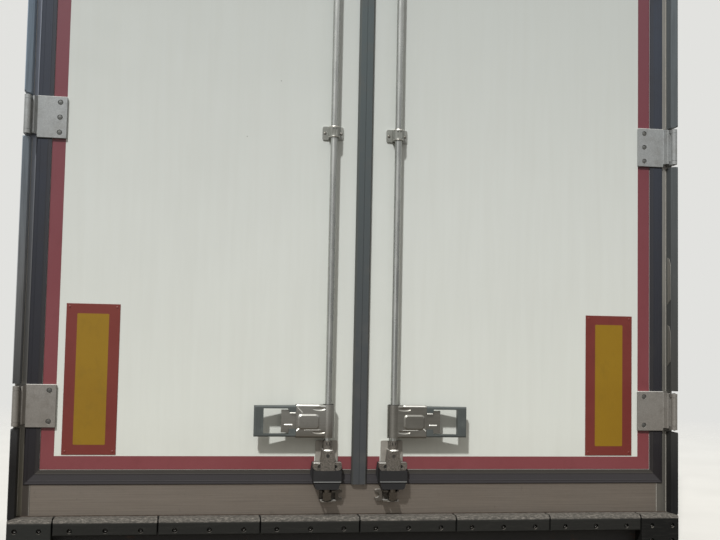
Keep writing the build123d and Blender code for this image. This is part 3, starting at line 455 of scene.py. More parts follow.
def weld_metal():
    """The ground seams of the frame, a little paler than its sheet."""
    f = Finish("weld_metal", roughness=0.5, metallic=0.4)
    ripples = f.noise(1.0, 3.0, 0.5, f.stretched(150, 150, 330))
    colour = f.mix(f.remap(ripples, 0.3, 0.7), srgb(142, 138, 130), srgb(170, 166, 158))
    return f.done(colour, None, f.bump(ripples, 0.0004))


RUBBER_DUST = srgb(96, 93, 88)

MATERIALS = {
    "door_skin": gelcoat(),
    "inner_skin": skin_inside(),
    "gasket": rubber("gasket_rubber", srgb(30, 27, 29), srgb(60, 65, 75), srgb(56, 54, 53), srgb(60, 57, 53)),
    "seal": rubber("seal_rubber", srgb(64, 66, 68), srgb(80, 89, 91), RUBBER_DUST),
    "seal_edge": rubber("seal_edge_rubber", srgb(64, 65, 64), srgb(88, 93, 92), RUBBER_DUST),
    "tape": reflective("tape_red", srgb(114, 52, 56), srgb(122, 64, 68), srgb(88, 34, 36), srgb(98, 48, 60)),
    "plate": reflective("plate_red", srgb(102, 34, 28), srgb(112, 48, 40), srgb(78, 28, 22)),
    "plate_yellow": reflective("plate_yellow", srgb(130, 98, 2), srgb(140, 109, 10), srgb(108, 83, 10)),
    "frame_x": brushed("stainless_frame", srgb(147, 138, 128), srgb(132, 124, 115), ALONG_X),
    "frame_z": brushed("stainless_posts", srgb(140, 138, 131), srgb(126, 124, 117), ALONG_Z, painted_light_and_shade=True),
    # Pale steel for the glint ridges and rims: a painted highlight on top of their real glint
    "highlight_pale": brushed("highlight_pale_steel", srgb(224, 222, 214), srgb(206, 204, 196), ALONG_X, 0.95, 0.38),
    "hinge": cast_metal(
        "hinge_metal", srgb(134, 130, 124), srgb(158, 162, 163), 0.20, 0.3, 0.46, grain=0.00018, wear_and_top_light=0.70
    ),
    "casting": cast_metal(
        "cast_steel", srgb(130, 124, 116), srgb(136, 132, 125), 0.75, 0.45, 0.46, grain=0.0009, wear_and_top_light=0.35,
        pitch=300.0, near_door_light=0.90,
    ),
    "guide": cast_metal(
        "guide_steel", srgb(150, 150, 144), srgb(152, 154, 148), 0.25, 0.5, 0.40, grain=0.0002, wear_and_top_light=0.80,
        pitch=420.0,
    ),
    "keeper": cast_metal(
        "keeper_steel", srgb(100, 94, 86), srgb(112, 106, 98), 0.5, 0.45, 0.5, grain=0.0005, wear_and_top_light=0.5,
        pitch=420.0,
    ),
    "bumper_bolt": cast_metal(
        "bumper_bolt", srgb(40, 39, 37), srgb(40, 39, 37), 0.2, 0.3, 0.6, grain=0.0001, wear_and_top_light=0.85
    ),
    "screw": cast_metal("screw_steel", srgb(104, 101, 94), srgb(128, 128, 124), 0.15, 0.5, 0.5, grain=0.0001),
    "hinge_screw": cast_metal(
        "hinge_screw", srgb(82, 82, 79), srgb(98, 100, 98), 0.15, 0.4, 0.5, grain=0.0001
    ),
    # A near-black used as painted shade in holes, gaps and on the hub
    "painted_shade_dark": cast_metal("painted_shade_dark", srgb(40, 39, 37), srgb(48, 47, 45), 0.3, 0.3, 0.6, grain=0.0002),
    "rust": cast_metal(
        "rusty_edge", srgb(62, 46, 34), srgb(62, 46, 34), 0.5, 0.1, 0.8, grain=0.0006, pitch=420.0
    ),
    "rod": galvanised_tube(),
    "handle": handle_metal(),
    "grip": moulded("grip_plastic", srgb(74, 79, 78), srgb(104, 110, 109), 0.48),
    "guard": moulded("guard_plastic", srgb(26, 26, 27), srgb(38, 38, 38), 0.64),
    # Pale grey for the guards' ridges: a painted highlight
    "guard_lit_edge": moulded("guard_lit_edge", srgb(96, 97, 96), srgb(116, 116, 113), 0.50),
    "cover": weathered_cover(),
    "bumper": worn_rubber(),
    "beam": chassis_paint(),
    "lens": lens_red(),
    "trim": aluminium(),
    "zinc": zinc(),
    "weld": weld_metal(),
}

# The start of a CAD node's name, its finish and the width of its soft edges
NODE_LOOKS = {
    "sill": ("frame_x", 0.0020),
    "header": ("frame_x", 0.0020),
    "post": ("frame_z", 0.0020),
    "post_cover": ("cover", 0.0020),
    "drip_rail": ("trim", None),
    "marker_lamps": ("lens", 0.0020),
    "bumper_beam": ("beam", None),
    "bumper_pad": ("bumper", 0.0040),
    "bumper_end": ("bumper", 0.0040),
    "hinge_brackets": ("hinge", 0.0012),
    "hinge_leaves": ("hinge", 0.0010),
    "keepers": ("keeper", 0.0012),
    "door_panel": ("door_skin", None),
    "gasket": ("gasket", None),
    "centre_seal": ("seal", None),
    "contour_tape": ("tape", None),
    "marking_plate": ("plate", None),
    "rod_guide": ("guide", 0.0010),
    "rod_bearings": ("casting", 0.0024),
    "rod_guards": ("guard", 0.0016),
    "lock_rod": ("rod", None),
    "handle_arm": ("handle", 0.0012),
    "handle_grip": ("grip", 0.0025),
}
EDGE_ANGLE = math.radians(34)


def soften(obj, width):
    """Rounds the hard edges and keeps the flat faces flat."""
    bevel = obj.modifiers.new("soft_edges", "BEVEL")
    bevel.width = width
    bevel.segments = 2
    bevel.limit_method = "ANGLE"
    bevel.angle_limit = EDGE_ANGLE
    bevel.harden_normals = True
    bevel.use_clamp_overlap = True


def dress_nodes():
    """Gives each CAD node the look whose name starts its own, the longest match first."""
    for name, obj in NODES.items():
        start = max((s for s in NODE_LOOKS if name.startswith(s)), key=len)
        finish, edge = NODE_LOOKS[start]
        obj.data.materials.clear()
        obj.data.materials.append(MATERIALS[finish])
        if edge:
            soften(obj, edge)


# Mesh building

# How deep a laid-on piece is sunk into the face below it, so that no gap shows
SUNK = 0.0002
# Marks a lathe row that has six flats
HEXAGON = True


def placed(name, mesh, material):
    """An object from a bmesh, in the scene."""
    data = bpy.data.meshes.new(name)
    mesh.to_mesh(data)
    mesh.free()
    data.materials.append(material)
    obj = bpy.data.objects.new(name, data)
    bpy.context.scene.collection.objects.link(obj)
    return obj


def made(name, mesh, material, body, smooth=True):
    """A piece of the part, riding on its body."""
    bmesh.ops.recalc_face_normals(mesh, faces=mesh.faces)
    obj = placed(name, mesh, MATERIALS[material])
    if smooth:
        obj.data.shade_smooth()
        obj.data.set_sharp_from_angle(angle=EDGE_ANGLE)
    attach(obj, body)


def skin(mesh, rows, shut=False):
    """Faces between rings of points; a ring may be one point. The ends are capped, or joined if shut."""
    for lower, upper in zip(rows, rows[1:] + rows[:1] if shut else rows[1:]):
        sides = max(len(lower), len(upper))
        for k in range(sides):
            following = (k + 1) % sides
            corners = [lower[k % len(lower)], lower[following % len(lower)]]
            corners += [upper[following % len(upper)], upper[k % len(upper)]]
            mesh.faces.new(list(dict.fromkeys(corners)))
    for end in (rows[0], rows[-1]):
        if len(end) > 2 and not shut:
            mesh.faces.new(end)


def ring(mesh, centre, radius, depth, sides, six_flats):
    """A ring of points about a Y axis, round or with six flats."""
    points = []
    for k in range(sides):
        angle = 2 * math.pi * k / sides
        reach = radius
        if six_flats:
            sector = math.pi / 3
            reach = radius / math.cos((angle + sector / 2) % sector - sector / 2)
        across = centre[0] + reach * math.cos(angle)
        points.append(mesh.verts.new((across, centre[1] - depth, centre[2] + reach * math.sin(angle))))
    return points


def lathe_y(mesh, centre, profile, sides=24):
    """A closed form about a Y axis. A row is a radius, how far it stands out, and HEXAGON if it has flats."""
    skin(mesh, [ring(mesh, centre, radius, depth, sides, six) for radius, depth, *six in profile])


def prism_along(mesh, outline, axis, low, high):
    """A closed outline carried along an axis. The outline's two values are the other two axes, in order."""
    ends = []
    for level in (low, high):
        places = [list(pair) for pair in outline]
        for place in places:
            place.insert(axis, level)
        ends.append([mesh.verts.new(place) for place in places])
    skin(mesh, ends)


def round_bar(mesh, start, end, radius, sides=16):
    """A round bar between two points, its ends domed."""
    along = Vector(end) - Vector(start)
    turn = along.to_track_quat("Z", "Y").to_matrix().to_4x4()
    rows = [(0.0, -0.45), (0.6, -0.30), (1.0, 0.0)]
    profile = [(r * radius, z * radius) for r, z in rows]
    profile += [(r * radius, along.length - z * radius) for r, z in reversed(rows)]
    rings = []
    for reach, level in profile:
        points = []
        for k in range(sides if reach else 1):
            angle = 2 * math.pi * k / sides
            local = Vector((reach * math.cos(angle), reach * math.sin(angle), level))
            points.append(mesh.verts.new(Vector(start) + turn @ local))
        rings.append(points)
    skin(mesh, rings)


def half_round(width, height, steps=6):
    """The outline of a low rounded ridge: across and outward."""
    turns = [math.pi * k / steps for k in range(steps + 1)]
    return [(width / 2 * math.cos(t), height * math.sin(t)) for t in turns]


def mitred_strip(mesh, path, profile, y_base):
    """A profile carried along a path in the XZ plane, its corners mitred."""
    rows = []
    for k, (x, z) in enumerate(path):
        before = Vector(path[k]) - Vector(path[k - 1]) if k > 0 else Vector(path[1]) - Vector(path[0])
        after = Vector(path[k + 1]) - Vector(path[k]) if k < len(path) - 1 else before
        sides = [Vector((-d.normalized().y, d.normalized().x)) for d in (before, after)]
        mitre = sides[0] + sides[1]
        mitre = mitre * (2 / mitre.length_squared)
        places = [(x + mitre.x * offset, y_base - height, z + mitre.y * offset) for offset, height in profile]
        rows.append([mesh.verts.new(place) for place in places])
    skin(mesh, rows)


def loop_strip(mesh, loop, profile, y_base):
    """A profile carried round a closed loop in the XZ plane."""
    rows = []
    for k, (x, z) in enumerate(loop):
        along = (Vector(loop[(k + 1) % len(loop)]) - Vector(loop[k - 1])).normalized()
        places = [(x + along.y * offset, y_base - height, z - along.x * offset) for offset, height in profile]
        rows.append([mesh.verts.new(place) for place in places])
    skin(mesh, rows, shut=True)


def circle(centre, radius, steps=24):
    """A closed loop of (x, z) points."""
    turns = [2 * math.pi * k / steps for k in range(steps)]
    return [(centre[0] + radius * math.cos(t), centre[1] + radius * math.sin(t)) for t in turns]


def rounded_loop(centre, width, height, corner, steps):
    """A closed rounded rectangle of (x, z) points."""
    points = []
    for quarter, (sx, sz) in enumerate(((1, 1), (-1, 1), (-1, -1), (1, -1))):
        x = centre[0] + sx * (width / 2 - corner)
        z = centre[1] + sz * (height / 2 - corner)
        for k in range(steps + 1):
            angle = math.pi / 2 * (quarter + k / steps)
            points.append((x + corner * math.cos(angle), z + corner * math.sin(angle)))
    return points


def slab(mesh, x_low, x_high, z_low, z_high, y_back, y_front, corner):
    """A thin plate with rounded corners, facing along -Y."""
    centre = ((x_low + x_high) / 2, (z_low + z_high) / 2)
    outline = rounded_loop(centre, x_high - x_low, z_high - z_low, corner, 4)
    prism_along(mesh, outline, 1, y_back, y_front)


def tube_ring(mesh, centre, radius, thickness, sides=28, steps=8):
    """A torus about a Z axis."""
    rows = []
    for k in range(sides):
        angle = 2 * math.pi * k / sides
        row = []
        for j in range(steps):
            turn = 2 * math.pi * j / steps
            reach = radius + thickness * math.cos(turn)
            row.append(mesh.verts.new((
                centre[0] + reach * math.cos(angle), centre[1] + reach * math.sin(angle),
                centre[2] + thickness * math.sin(turn),
            )))
        rows.append(row)
    skin(mesh, rows, shut=True)


# How much a ridge's long slope rises for its width, so that it glints in the sun
RIDGE_PITCH = 0.488


def ridge(mesh, start, end, width, y_base, flip=1, taper=12.0, steps=24):
    """A tapered crease from one XZ point to another: a long slope that faces up and a short one below."""
    if start[0] > end[0]:
        start, end = end, start
    along = Vector(end) - Vector(start)
    across = Vector((-along.y, along.x)).normalized() * flip
    rows = []
    for k in range(steps + 1):
        share = k / steps
        half = max(0.06, min(1.0, taper * share, taper * (1 - share))) * width / 2
        point = Vector(start) + along * share
        profile = ((half, -0.0003), (-half, 2 * half * RIDGE_PITCH), (-half - 0.0003, -0.0003))
        places = [(point.x + across.x * d, y_base - height, point.y + across.y * d) for d, height in profile]
        rows.append([mesh.verts.new(place) for place in places])
    skin(mesh, rows)


# Hinges

# How far in from the frame's edge, how far apart and how deep or proud the screws and pins are
SCREW_INSET = 0.126
SCREW_PITCH = 0.0575
SCREW_SEAT = 0.008
SCREW_HEAD = (
    (0.0094, -0.0002), (0.0094, 0.0008), (0.0088, 0.0016), (0.0072, 0.0023), (0.0048, 0.0028),
    (0.0022, 0.0031),
)
# Which of three places hold a screw, from the lowest hinge up
HINGE_SCREWS = ((-1, 1), (-1, 0, 1), (-1, 0, 1))
PIN_INSET = 0.012
PIN_PROUD = 0.048
EARS_HEIGHT = 0.146


def hinge_screws(side, sign):
    """The screws' domed heads, sunk in each leaf."""
    x = sign * (HALF_WIDTH - SCREW_INSET)
    mesh = bmesh.new()
    for middle, screws in zip(HINGE_MIDDLES, HINGE_SCREWS):
        for k in screws:
            lathe_y(mesh, (x, FACE_Y - SCREW_SEAT, middle + k * SCREW_PITCH), SCREW_HEAD)
    made(f"hinge_screws_{side}", mesh, "hinge_screw", f"door_{side}")


def pin_heads(side, sign):
    """The domed heads of the hinge pins, above and below the ears."""
    x = sign * (HALF_WIDTH - PIN_INSET)
    y = FACE_Y - PIN_PROUD
    mesh = bmesh.new()
    for middle in HINGE_MIDDLES:
        for end in (-1, 1):
            level = middle + end * EARS_HEIGHT / 2
            round_bar(mesh, (x, y, level - end * 0.001), (x, y, level + end * 0.0006), 0.0060, 20)
    made(f"hinge_pin_heads_{side}", mesh, "zinc", "frame")


# Seals

SEAL_HALF = 0.0285


def seal_edges(side, sign):
    """The centre seal's sloped outer lip and the soft edge at the split. A point is how far out and proud."""
    outer = [(SEAL_HALF - 0.0052, 0.0180), (SEAL_HALF - 0.0036, 0.0176), (SEAL_HALF + 0.0012, 0.0118)]
    outer += [(SEAL_HALF + 0.0016, 0.0), (SEAL_HALF - 0.002, 0.0)]
    inner = [(0.0006, 0.0060), (0.0003, 0.0174), (0.0006, 0.0179), (0.0030, 0.0181), (0.0030, 0.0050)]
    for lip, points, material in (("outer", outer, "seal_edge"), ("inner", inner, "seal")):
        mesh = bmesh.new()
        outline = [(sign * x, FACE_Y - proud) for x, proud in points]
        prism_along(mesh, outline, 2, GASKET_LOW + 0.0005, GASKET_HIGH - 0.0005)
        made(f"seal_{lip}_lip_{side}", mesh, material, f"door_{side}")


def gasket_ribs(side, sign):
    """Two fine ribs along the gasket's lip, round the door's lower, outer and upper edges."""
    start = sign * (SEAL_HALF + 0.003)
    mesh = bmesh.new()
    for inset, width, height in ((0.0135, 0.0040, 0.0011), (0.0400, 0.0050, 0.0012)):
        x = sign * (GASKET_OUTER - inset)
        low, high = GASKET_LOW + inset, GASKET_HIGH - inset
        path = ((start, low), (x, low), (x, high), (start, high))
        mitred_strip(mesh, path, half_round(width, height), GASKET_Y + 0.0001)
    made(f"gasket_ribs_{side}", mesh, "gasket", f"door_{side}")


# Marking plates

PLATE_BORDER_SIDE = 0.0405
PLATE_BORDER_END = 0.0370
PLATE_RIVET_INSET = 0.012
PLATE_RIVET = ((0.0042, 0.0), (0.0040, 0.0007), (0.0028, 0.0014), (0.0010, 0.0017))


def plate_details(side):
    """The yellow field on the red plate and a small rivet near each of its corners."""
    low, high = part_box(f"marking_plate_{side}")
    mesh = bmesh.new()
    slab(
        mesh, low.x + PLATE_BORDER_SIDE, high.x - PLATE_BORDER_SIDE, low.z + PLATE_BORDER_END,
        high.z - PLATE_BORDER_END, low.y + SUNK, low.y - 0.0003, 0.004,
    )
    made(f"plate_field_{side}", mesh, "plate_yellow", f"door_{side}")
    mesh = bmesh.new()
    for x in (low.x + PLATE_RIVET_INSET, high.x - PLATE_RIVET_INSET):
        for z in (low.z + PLATE_RIVET_INSET, high.z - PLATE_RIVET_INSET):
            lathe_y(mesh, (x, low.y, z), PLATE_RIVET, 16)
    made(f"plate_rivets_{side}", mesh, "plate", f"door_{side}")


# Lock gear

ROD_PROUD = 0.038
GUIDE_BELOW_MIDDLE = 0.008
GUIDE_COLLAR_HALF = 0.0225
GUIDE_PLATE = 0.005
GUIDE_SCREW_INSET = 0.0095
GUIDE_SCREW = (
    (0.0056, 0.0), (0.0054, 0.0016), (0.0040, 0.0030), (0.0026, 0.0034, HEXAGON),
    (0.0024, 0.0016, HEXAGON),
)

# The lower castings' heights, how proud they stand and how wide; the upper ones are mirrored about the middle
EAR_HOLE_Z = 0.1162
EAR_HOLE_SPREAD = 0.031
EAR_TOP = 0.1322
EAR_FRONT = 0.046
EAR_INNER = 0.0270
EAR_OUTER = 0.0540
SPINE_HOLE_Z = 0.1582
SPINE_TOP = 0.1832
SPINE_HALF = 0.0190
SPINE_FRONT = 0.0558
BOSS_Z = 0.2045
BOSS_RIM_PROUD = 0.0480
BOSS_SHADE_PROUD = 0.0546
GUARD_RIDGE_Z = 0.0585
GUARD_HALF = 0.0528
FORK_HALF = 0.0235


def mirrored(level, end):
    """A height near the door's lower edge, or the same one near its upper edge where end is 1."""
    return level if end < 0 else 2 * DOOR_MIDDLE - level


def guide_screws(side):
    """Two screws through the rod guide's plate."""
    low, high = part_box(f"rod_guide_{side}")
    mesh = bmesh.new()
    for x in (low.x + GUIDE_SCREW_INSET, high.x - GUIDE_SCREW_INSET):
        lathe_y(mesh, (x, FACE_Y - GUIDE_PLATE, (low.z + high.z) / 2), GUIDE_SCREW, 18)
    made(f"guide_screws_{side}", mesh, "zinc", f"door_{side}")


def guide_details(side, sign):
    """The collar's pale rims, the upper one thick, painted pale as a highlight arc, and a dark ring round the
    rod above it, painted shade for the gap.
    """
    middle = DOOR_MIDDLE - GUIDE_BELOW_MIDDLE
    rim = bmesh.new()
    gap = bmesh.new()
    for mesh, level, radius, thickness in (
        (rim, GUIDE_COLLAR_HALF - 0.0036, 0.0190, 0.0034),
        (rim, -GUIDE_COLLAR_HALF + 0.0030, 0.0204, 0.0014),
        (gap, GUIDE_COLLAR_HALF + 0.0006, 0.0150, 0.0016),
    ):
        tube_ring(mesh, (sign * ROD_X, FACE_Y - ROD_PROUD, middle + level), radius, thickness, 36)
    made(f"guide_rim_{side}", rim, "highlight_pale", f"door_{side}")
    made(f"guide_gap_{side}", gap, "painted_shade_dark", f"door_{side}")


# Lathe rows: a dark disc in an ear's hole, the rim and the dark disc of the boss, a dark disc in the spine's
# hole; the dark discs are painted shade for the holes
EAR_HOLE_SHADE = ((0.0069, -0.0100), (0.0069, -0.0034), (0.0050, -0.0026), (0.0034, -0.0026, HEXAGON))
BOSS_RIM = ((0.0130, 0.0), (0.0130, -0.0062), (0.0115, -0.0074), (0.0090, -0.0072))
BOSS_SHADE = ((0.0082, 0.0), (0.0080, -0.0012), (0.0030, -0.0012))
SPINE_HOLE_SHADE = ((0.0068, 0.0012), (0.0062, 0.0), (0.0030, 0.0004))


def casting_details(side, sign):
    """At both ends of the rod: rims round the castings' holes, dark discs in them that are painted shade for
    the holes, and ridges on spine and ears, shaped to glint and painted pale as a highlight.
    """
    rims = bmesh.new()
    hole_shades = bmesh.new()
    lips = bmesh.new()
    rod = sign * ROD_X
    ear_y = FACE_Y - EAR_FRONT
    spine_y = FACE_Y - SPINE_FRONT
    for end in (-1, 1):
        level = mirrored(EAR_HOLE_Z, end)
        for across in (-1, 1):
            x = rod + across * EAR_HOLE_SPREAD
            loop_strip(rims, circle((x, level), 0.0082), half_round(0.0030, 0.0012), ear_y + SUNK)
            lathe_y(hole_shades, (x, ear_y, level), EAR_HOLE_SHADE, 20)
        boss = mirrored(BOSS_Z, end)
        lathe_y(rims, (rod, FACE_Y - BOSS_RIM_PROUD, boss), BOSS_RIM)
        lathe_y(hole_shades, (rod, FACE_Y - BOSS_SHADE_PROUD, boss), BOSS_SHADE, 20)
        lip = mirrored(SPINE_TOP - 0.0030, end)
        ridge(lips, (rod - SPINE_HALF, lip), (rod + SPINE_HALF, lip), 0.0066, spine_y, -end, 3.0)
        lathe_y(hole_shades, (rod, spine_y + 0.0006, mirrored(SPINE_HOLE_Z, end)), SPINE_HOLE_SHADE, 20)
        edge = mirrored(EAR_TOP - 0.0012, end)
        ridge(lips, (rod - EAR_OUTER, edge), (rod - EAR_INNER, edge), 0.0020, ear_y, -end)
    made(f"casting_rims_{side}", rims, "screw", f"door_{side}")
    made(f"casting_lips_{side}", lips, "highlight_pale", f"door_{side}", smooth=False)
    made(f"casting_hole_shades_{side}", hole_shades, "painted_shade_dark", f"door_{side}")


def guard_ridges(side, sign):
    """The raised line across each guard, just over its step, painted pale as a highlight where it faces up.
    """
    mesh = bmesh.new()
    for end in (-1, 1):
        level = mirrored(GUARD_RIDGE_Z, end)
        outline = [(0.0555, level + 0.0034), (0.0578, level), (0.0555, level - 0.0012)]
        outline = [(FACE_Y - proud, z) for proud, z in outline]
        prism_along(mesh, outline, 0, sign * ROD_X - GUARD_HALF, sign * ROD_X + GUARD_HALF)
    made(f"guard_ridges_{side}", mesh, "guard_lit_edge", f"door_{side}")


def keeper_lips(side, sign):
    """A ridge on the front edge of each keeper's outermost fork, shaped to glint and painted a little paler,
    a painted highlight.
    """
    mesh = bmesh.new()
    low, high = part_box(f"keepers_{side}")
    for level in (low.z + 0.003, high.z - 0.003):
        ends = [(sign * ROD_X + across * FORK_HALF, level) for across in (-1, 1)]
        ridge(mesh, *ends, 0.0036, low.y + 0.0006)
    made(f"keeper_lips_{side}", mesh, "screw", "frame")


# The arm's creases: start and end, as how far out and how high over the arm's middle, width, how proud
CREASES = (
    ((0.1600, 0.0606), (0.2550, 0.0606), 0.0050, 0.0598),
    ((0.2425, -0.0255), (0.2540, -0.0365), 0.0050, 0.0598),
    ((0.1560, -0.0320), (0.2250, -0.0320), 0.0018, 0.0598),
    ((0.2660, -0.0125), (0.3000, -0.0125), 0.0052, 0.0518),
    ((0.2560, 0.0330), (0.2800, 0.0330), 0.0050, 0.0605),
)
LEFT_CREASE = ((0.2285, 0.0320), (0.2505, 0.0540), 0.0036, 0.0598)


def handle_details(side, sign):
    """Creases pressed into the arm and its tongue, shaped to glint and painted pale as a highlight, and a
    dark ring on the hub, painted shade.
    """
    low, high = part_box(f"handle_arm_{side}")
    middle = (low.z + high.z) / 2
    mesh = bmesh.new()
    for start, end, width, proud in CREASES + (LEFT_CREASE,) * (sign < 0):
        ends = [(sign * out, middle + up) for out, up in (start, end)]
        ridge(mesh, *ends, width, FACE_Y - proud)
    made(f"handle_creases_{side}", mesh, "highlight_pale", f"lock_{side}", smooth=False)
    mesh = bmesh.new()
    tube_ring(mesh, (sign * ROD_X, FACE_Y - ROD_PROUD, high.z - 0.0004), 0.0205, 0.0022)
    made(f"hub_rings_{side}", mesh, "painted_shade_dark", f"lock_{side}")


# The grip's inner blocks: how far out they lie, and the heights of each over the grip's middle
GRIP_PAD_REACH = (0.2556, 0.2815)
GRIP_PADS = ((0.0345, 0.0440), (-0.0440, -0.0290))
GRIP_RIB_INSETS = (0.0100, 0.0180, 0.0260)
GRIP_RIB_MARGIN = 0.014


def grip_details(side, sign):
    """The grip's inner blocks, that reach over the tongue beside the arm, and fine ribs down its end bar."""
    low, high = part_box(f"handle_grip_{side}")
    middle = (low.z + high.z) / 2
    x_low, x_high = sorted(sign * x for x in GRIP_PAD_REACH)
    mesh = bmesh.new()
    for bottom, top in GRIP_PADS:
        slab(mesh, x_low, x_high, middle + bottom, middle + top, low.y + 0.0095, low.y + 0.0003, 0.0015)
    made(f"grip_pads_{side}", mesh, "grip", f"lock_{side}")
    outer = max(abs(low.x), abs(high.x))
    mesh = bmesh.new()
    for inset in GRIP_RIB_INSETS:
        levels = (low.z + GRIP_RIB_MARGIN, high.z - GRIP_RIB_MARGIN)
        ends = [(sign * (outer - inset), low.y + SUNK, level) for level in levels]
        round_bar(mesh, *ends, 0.0012, 10)
    made(f"grip_ribs_{side}", mesh, "grip", f"lock_{side}")


# Post covers

RUBBED_STRIPS = ((0.522, 0.690), (0.774, 0.968))
COVER_WALL_INSET = 0.023


def rubbed_strips():
    """Two stretches where the right cover's inner wall is worn to bare metal."""
    wall = HALF_WIDTH - COVER_WALL_INSET
    mesh = bmesh.new()
    for low, high in RUBBED_STRIPS:
        points = [(0.010, low), (0.036, low + 0.018), (0.036, high - 0.030), (0.024, high - 0.006)]
        outline = [(FACE_Y - proud, z) for proud, z in points + [(0.010, high)]]
        prism_along(mesh, outline, 0, wall - 0.0008, wall + 0.0012)
    made("cover_rubbed_right", mesh, "frame_z", "frame")


# Frame seams and bolts

BUMPER_FRONT = 0.062
RECESS = 0.014
PAD_BOLT_PITCH = 0.128
END_BOLT_OFFSETS = (0.028, 0.114)
BOLT_ROWS = (0.044, 0.103, 0.162)
BOLT_WASHER = ((0.0085, 0.0), (0.0085, 0.0018), (0.0077, 0.0024))
BOLT_HEAD = (
    (0.0050, 0.0024, HEXAGON), (0.0050, 0.0054, HEXAGON), (0.00465, 0.0066), (0.00275, 0.0066),
    (0.0025, 0.0060),
)
COVER_WIDTH = 0.026
SEAMS_BELOW_TOP = 0.016
SEAM_GAP = 0.003
LAMP_WIDTH = 0.100


def bumper_bolts():
    """A bolt deep in each recess of the bumper's front."""
    mesh = bmesh.new()
    seat = FACE_Y - BUMPER_FRONT + RECESS
    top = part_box("bumper_end_right")[1].z
    places = []
    for index in range(1, 7):
        low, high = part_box(f"bumper_pad_{index}")
        places += [((low.x + high.x) / 2 + k * PAD_BOLT_PITCH, top - BOLT_ROWS[0]) for k in (-1, 0, 1)]
    for _, sign in SIDES:
        across = [sign * (HALF_WIDTH - offset) for offset in END_BOLT_OFFSETS]
        places += [(x, top - row) for x in across for row in BOLT_ROWS]
    for x, z in places:
        lathe_y(mesh, (x, seat, z), BOLT_WASHER)
        lathe_y(mesh, (x, seat, z), BOLT_HEAD)
    made("bumper_bolts", mesh, "bumper_bolt", "frame")


def frame_seams():
    """Beads between sill, header and posts and beside the covers, finer on the left, and a rusty foot."""
    mesh = bmesh.new()
    back_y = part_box("sill")[0].y
    top = FRAME_TOP - SEAMS_BELOW_TOP
    reach = HINGE_LEAF_HEIGHT / 2 + SEAM_GAP
    starts = [SILL_LOW] + [middle + reach for middle in HINGE_MIDDLES]
    ends = [middle - reach for middle in HINGE_MIDDLES] + [top]
    for low, high in ((SILL_LOW + 0.001, SILL_TOP - 0.001), (HEADER_LOW + 0.001, top)):
        seam_bead(mesh, OPENING_HALF + 0.0030, back_y, low, high, 0.0036, 0.0010)
        seam_bead(mesh, -OPENING_HALF - 0.0030, back_y, low, high, 0.0020, 0.0004)
    for low, high in zip(starts, ends):
        seam_bead(mesh, HALF_WIDTH - COVER_WIDTH, back_y, low, high, 0.0036, 0.0016)
        seam_bead(mesh, -HALF_WIDTH + COVER_WIDTH, back_y, low, high, 0.0020, 0.0006)
    made("frame_seams", mesh, "weld", "frame")
    mesh = bmesh.new()
    outline = [(back_y + 0.0005, SILL_LOW + 0.0036), (back_y - 0.0006, SILL_LOW + 0.0030)]
    outline += [(back_y - 0.0012, SILL_LOW + 0.0002), (back_y + 0.0005, SILL_LOW + 0.0002)]
    prism_along(mesh, outline, 0, -HALF_WIDTH + COVER_WIDTH - 0.002, HALF_WIDTH - COVER_WIDTH + 0.002)
    made("sill_rust", mesh, "rust", "frame")


def seam_bead(mesh, x, y, low, high, width, height):
    """A low rounded bead up a face that looks along -Y."""
    outline = [(x + across, y + 0.0003 - out) for across, out in half_round(width, height)]
    prism_along(mesh, outline, 2, low, high)


def lamp_rims():
    """A dark gasket rim round each end-outline lamp."""
    low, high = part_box("marker_lamps")
    mesh = bmesh.new()
    for _, sign in SIDES:
        centre = (sign * (high.x - LAMP_WIDTH / 2), (low.z + high.z) / 2)
        loop = rounded_loop(centre, LAMP_WIDTH + 0.003, high.z - low.z + 0.003, 0.0135, 5)
        loop_strip(mesh, loop, half_round(0.005, 0.004), high.y)
    made("lamp_rims", mesh, "gasket", "frame")


# Inner side of the doors

SKIN_INSET = 0.012
SKIN_SPLIT_INSET = 0.030
SKIN_THICKNESS = 0.0012
KICK_INSET = 0.010
KICK_HEIGHT = 0.300
KICK_THICKNESS = 0.0015
KICK_RIVETS = 9
KICK_RIVET_INSET = 0.020
KICK_RIVET = ((0.0052, 0.0), (0.0048, -0.0010), (0.0030, -0.0020), (0.0008, -0.0023))


def inner_side(side, sign):
    """The inner skin and the kick plate with its rivets."""
    x_low, x_high = sorted((sign * (PANEL_INNER + SKIN_SPLIT_INSET), sign * (PANEL_OUTER - SKIN_INSET)))
    low, high = PANEL_LOW + SKIN_INSET, PANEL_HIGH - SKIN_INSET
    face = PANEL_BACK_Y + SKIN_THICKNESS
    mesh = bmesh.new()
    slab(mesh, x_low, x_high, low, high, PANEL_BACK_Y - SUNK, face, 0.01)
    made(f"inner_skin_{side}", mesh, "inner_skin", f"door_{side}")
    x_low, x_high = x_low + KICK_INSET, x_high - KICK_INSET
    low, high = low + KICK_INSET, PANEL_LOW + KICK_HEIGHT
    kick_face = face + KICK_THICKNESS
    mesh = bmesh.new()
    slab(mesh, x_low, x_high, low, high, face - SUNK, kick_face, 0.006)
    made(f"kick_plate_{side}", mesh, "trim", f"door_{side}")
    mesh = bmesh.new()
    run = x_high - x_low - 2 * KICK_RIVET_INSET
    for z in (low + 0.012, high - 0.014):
        for k in range(KICK_RIVETS):
            x = x_low + KICK_RIVET_INSET + run * k / (KICK_RIVETS - 1)
            lathe_y(mesh, (x, kick_face - 0.0001, z), KICK_RIVET, 14)
    made(f"kick_rivets_{side}", mesh, "zinc", f"door_{side}")


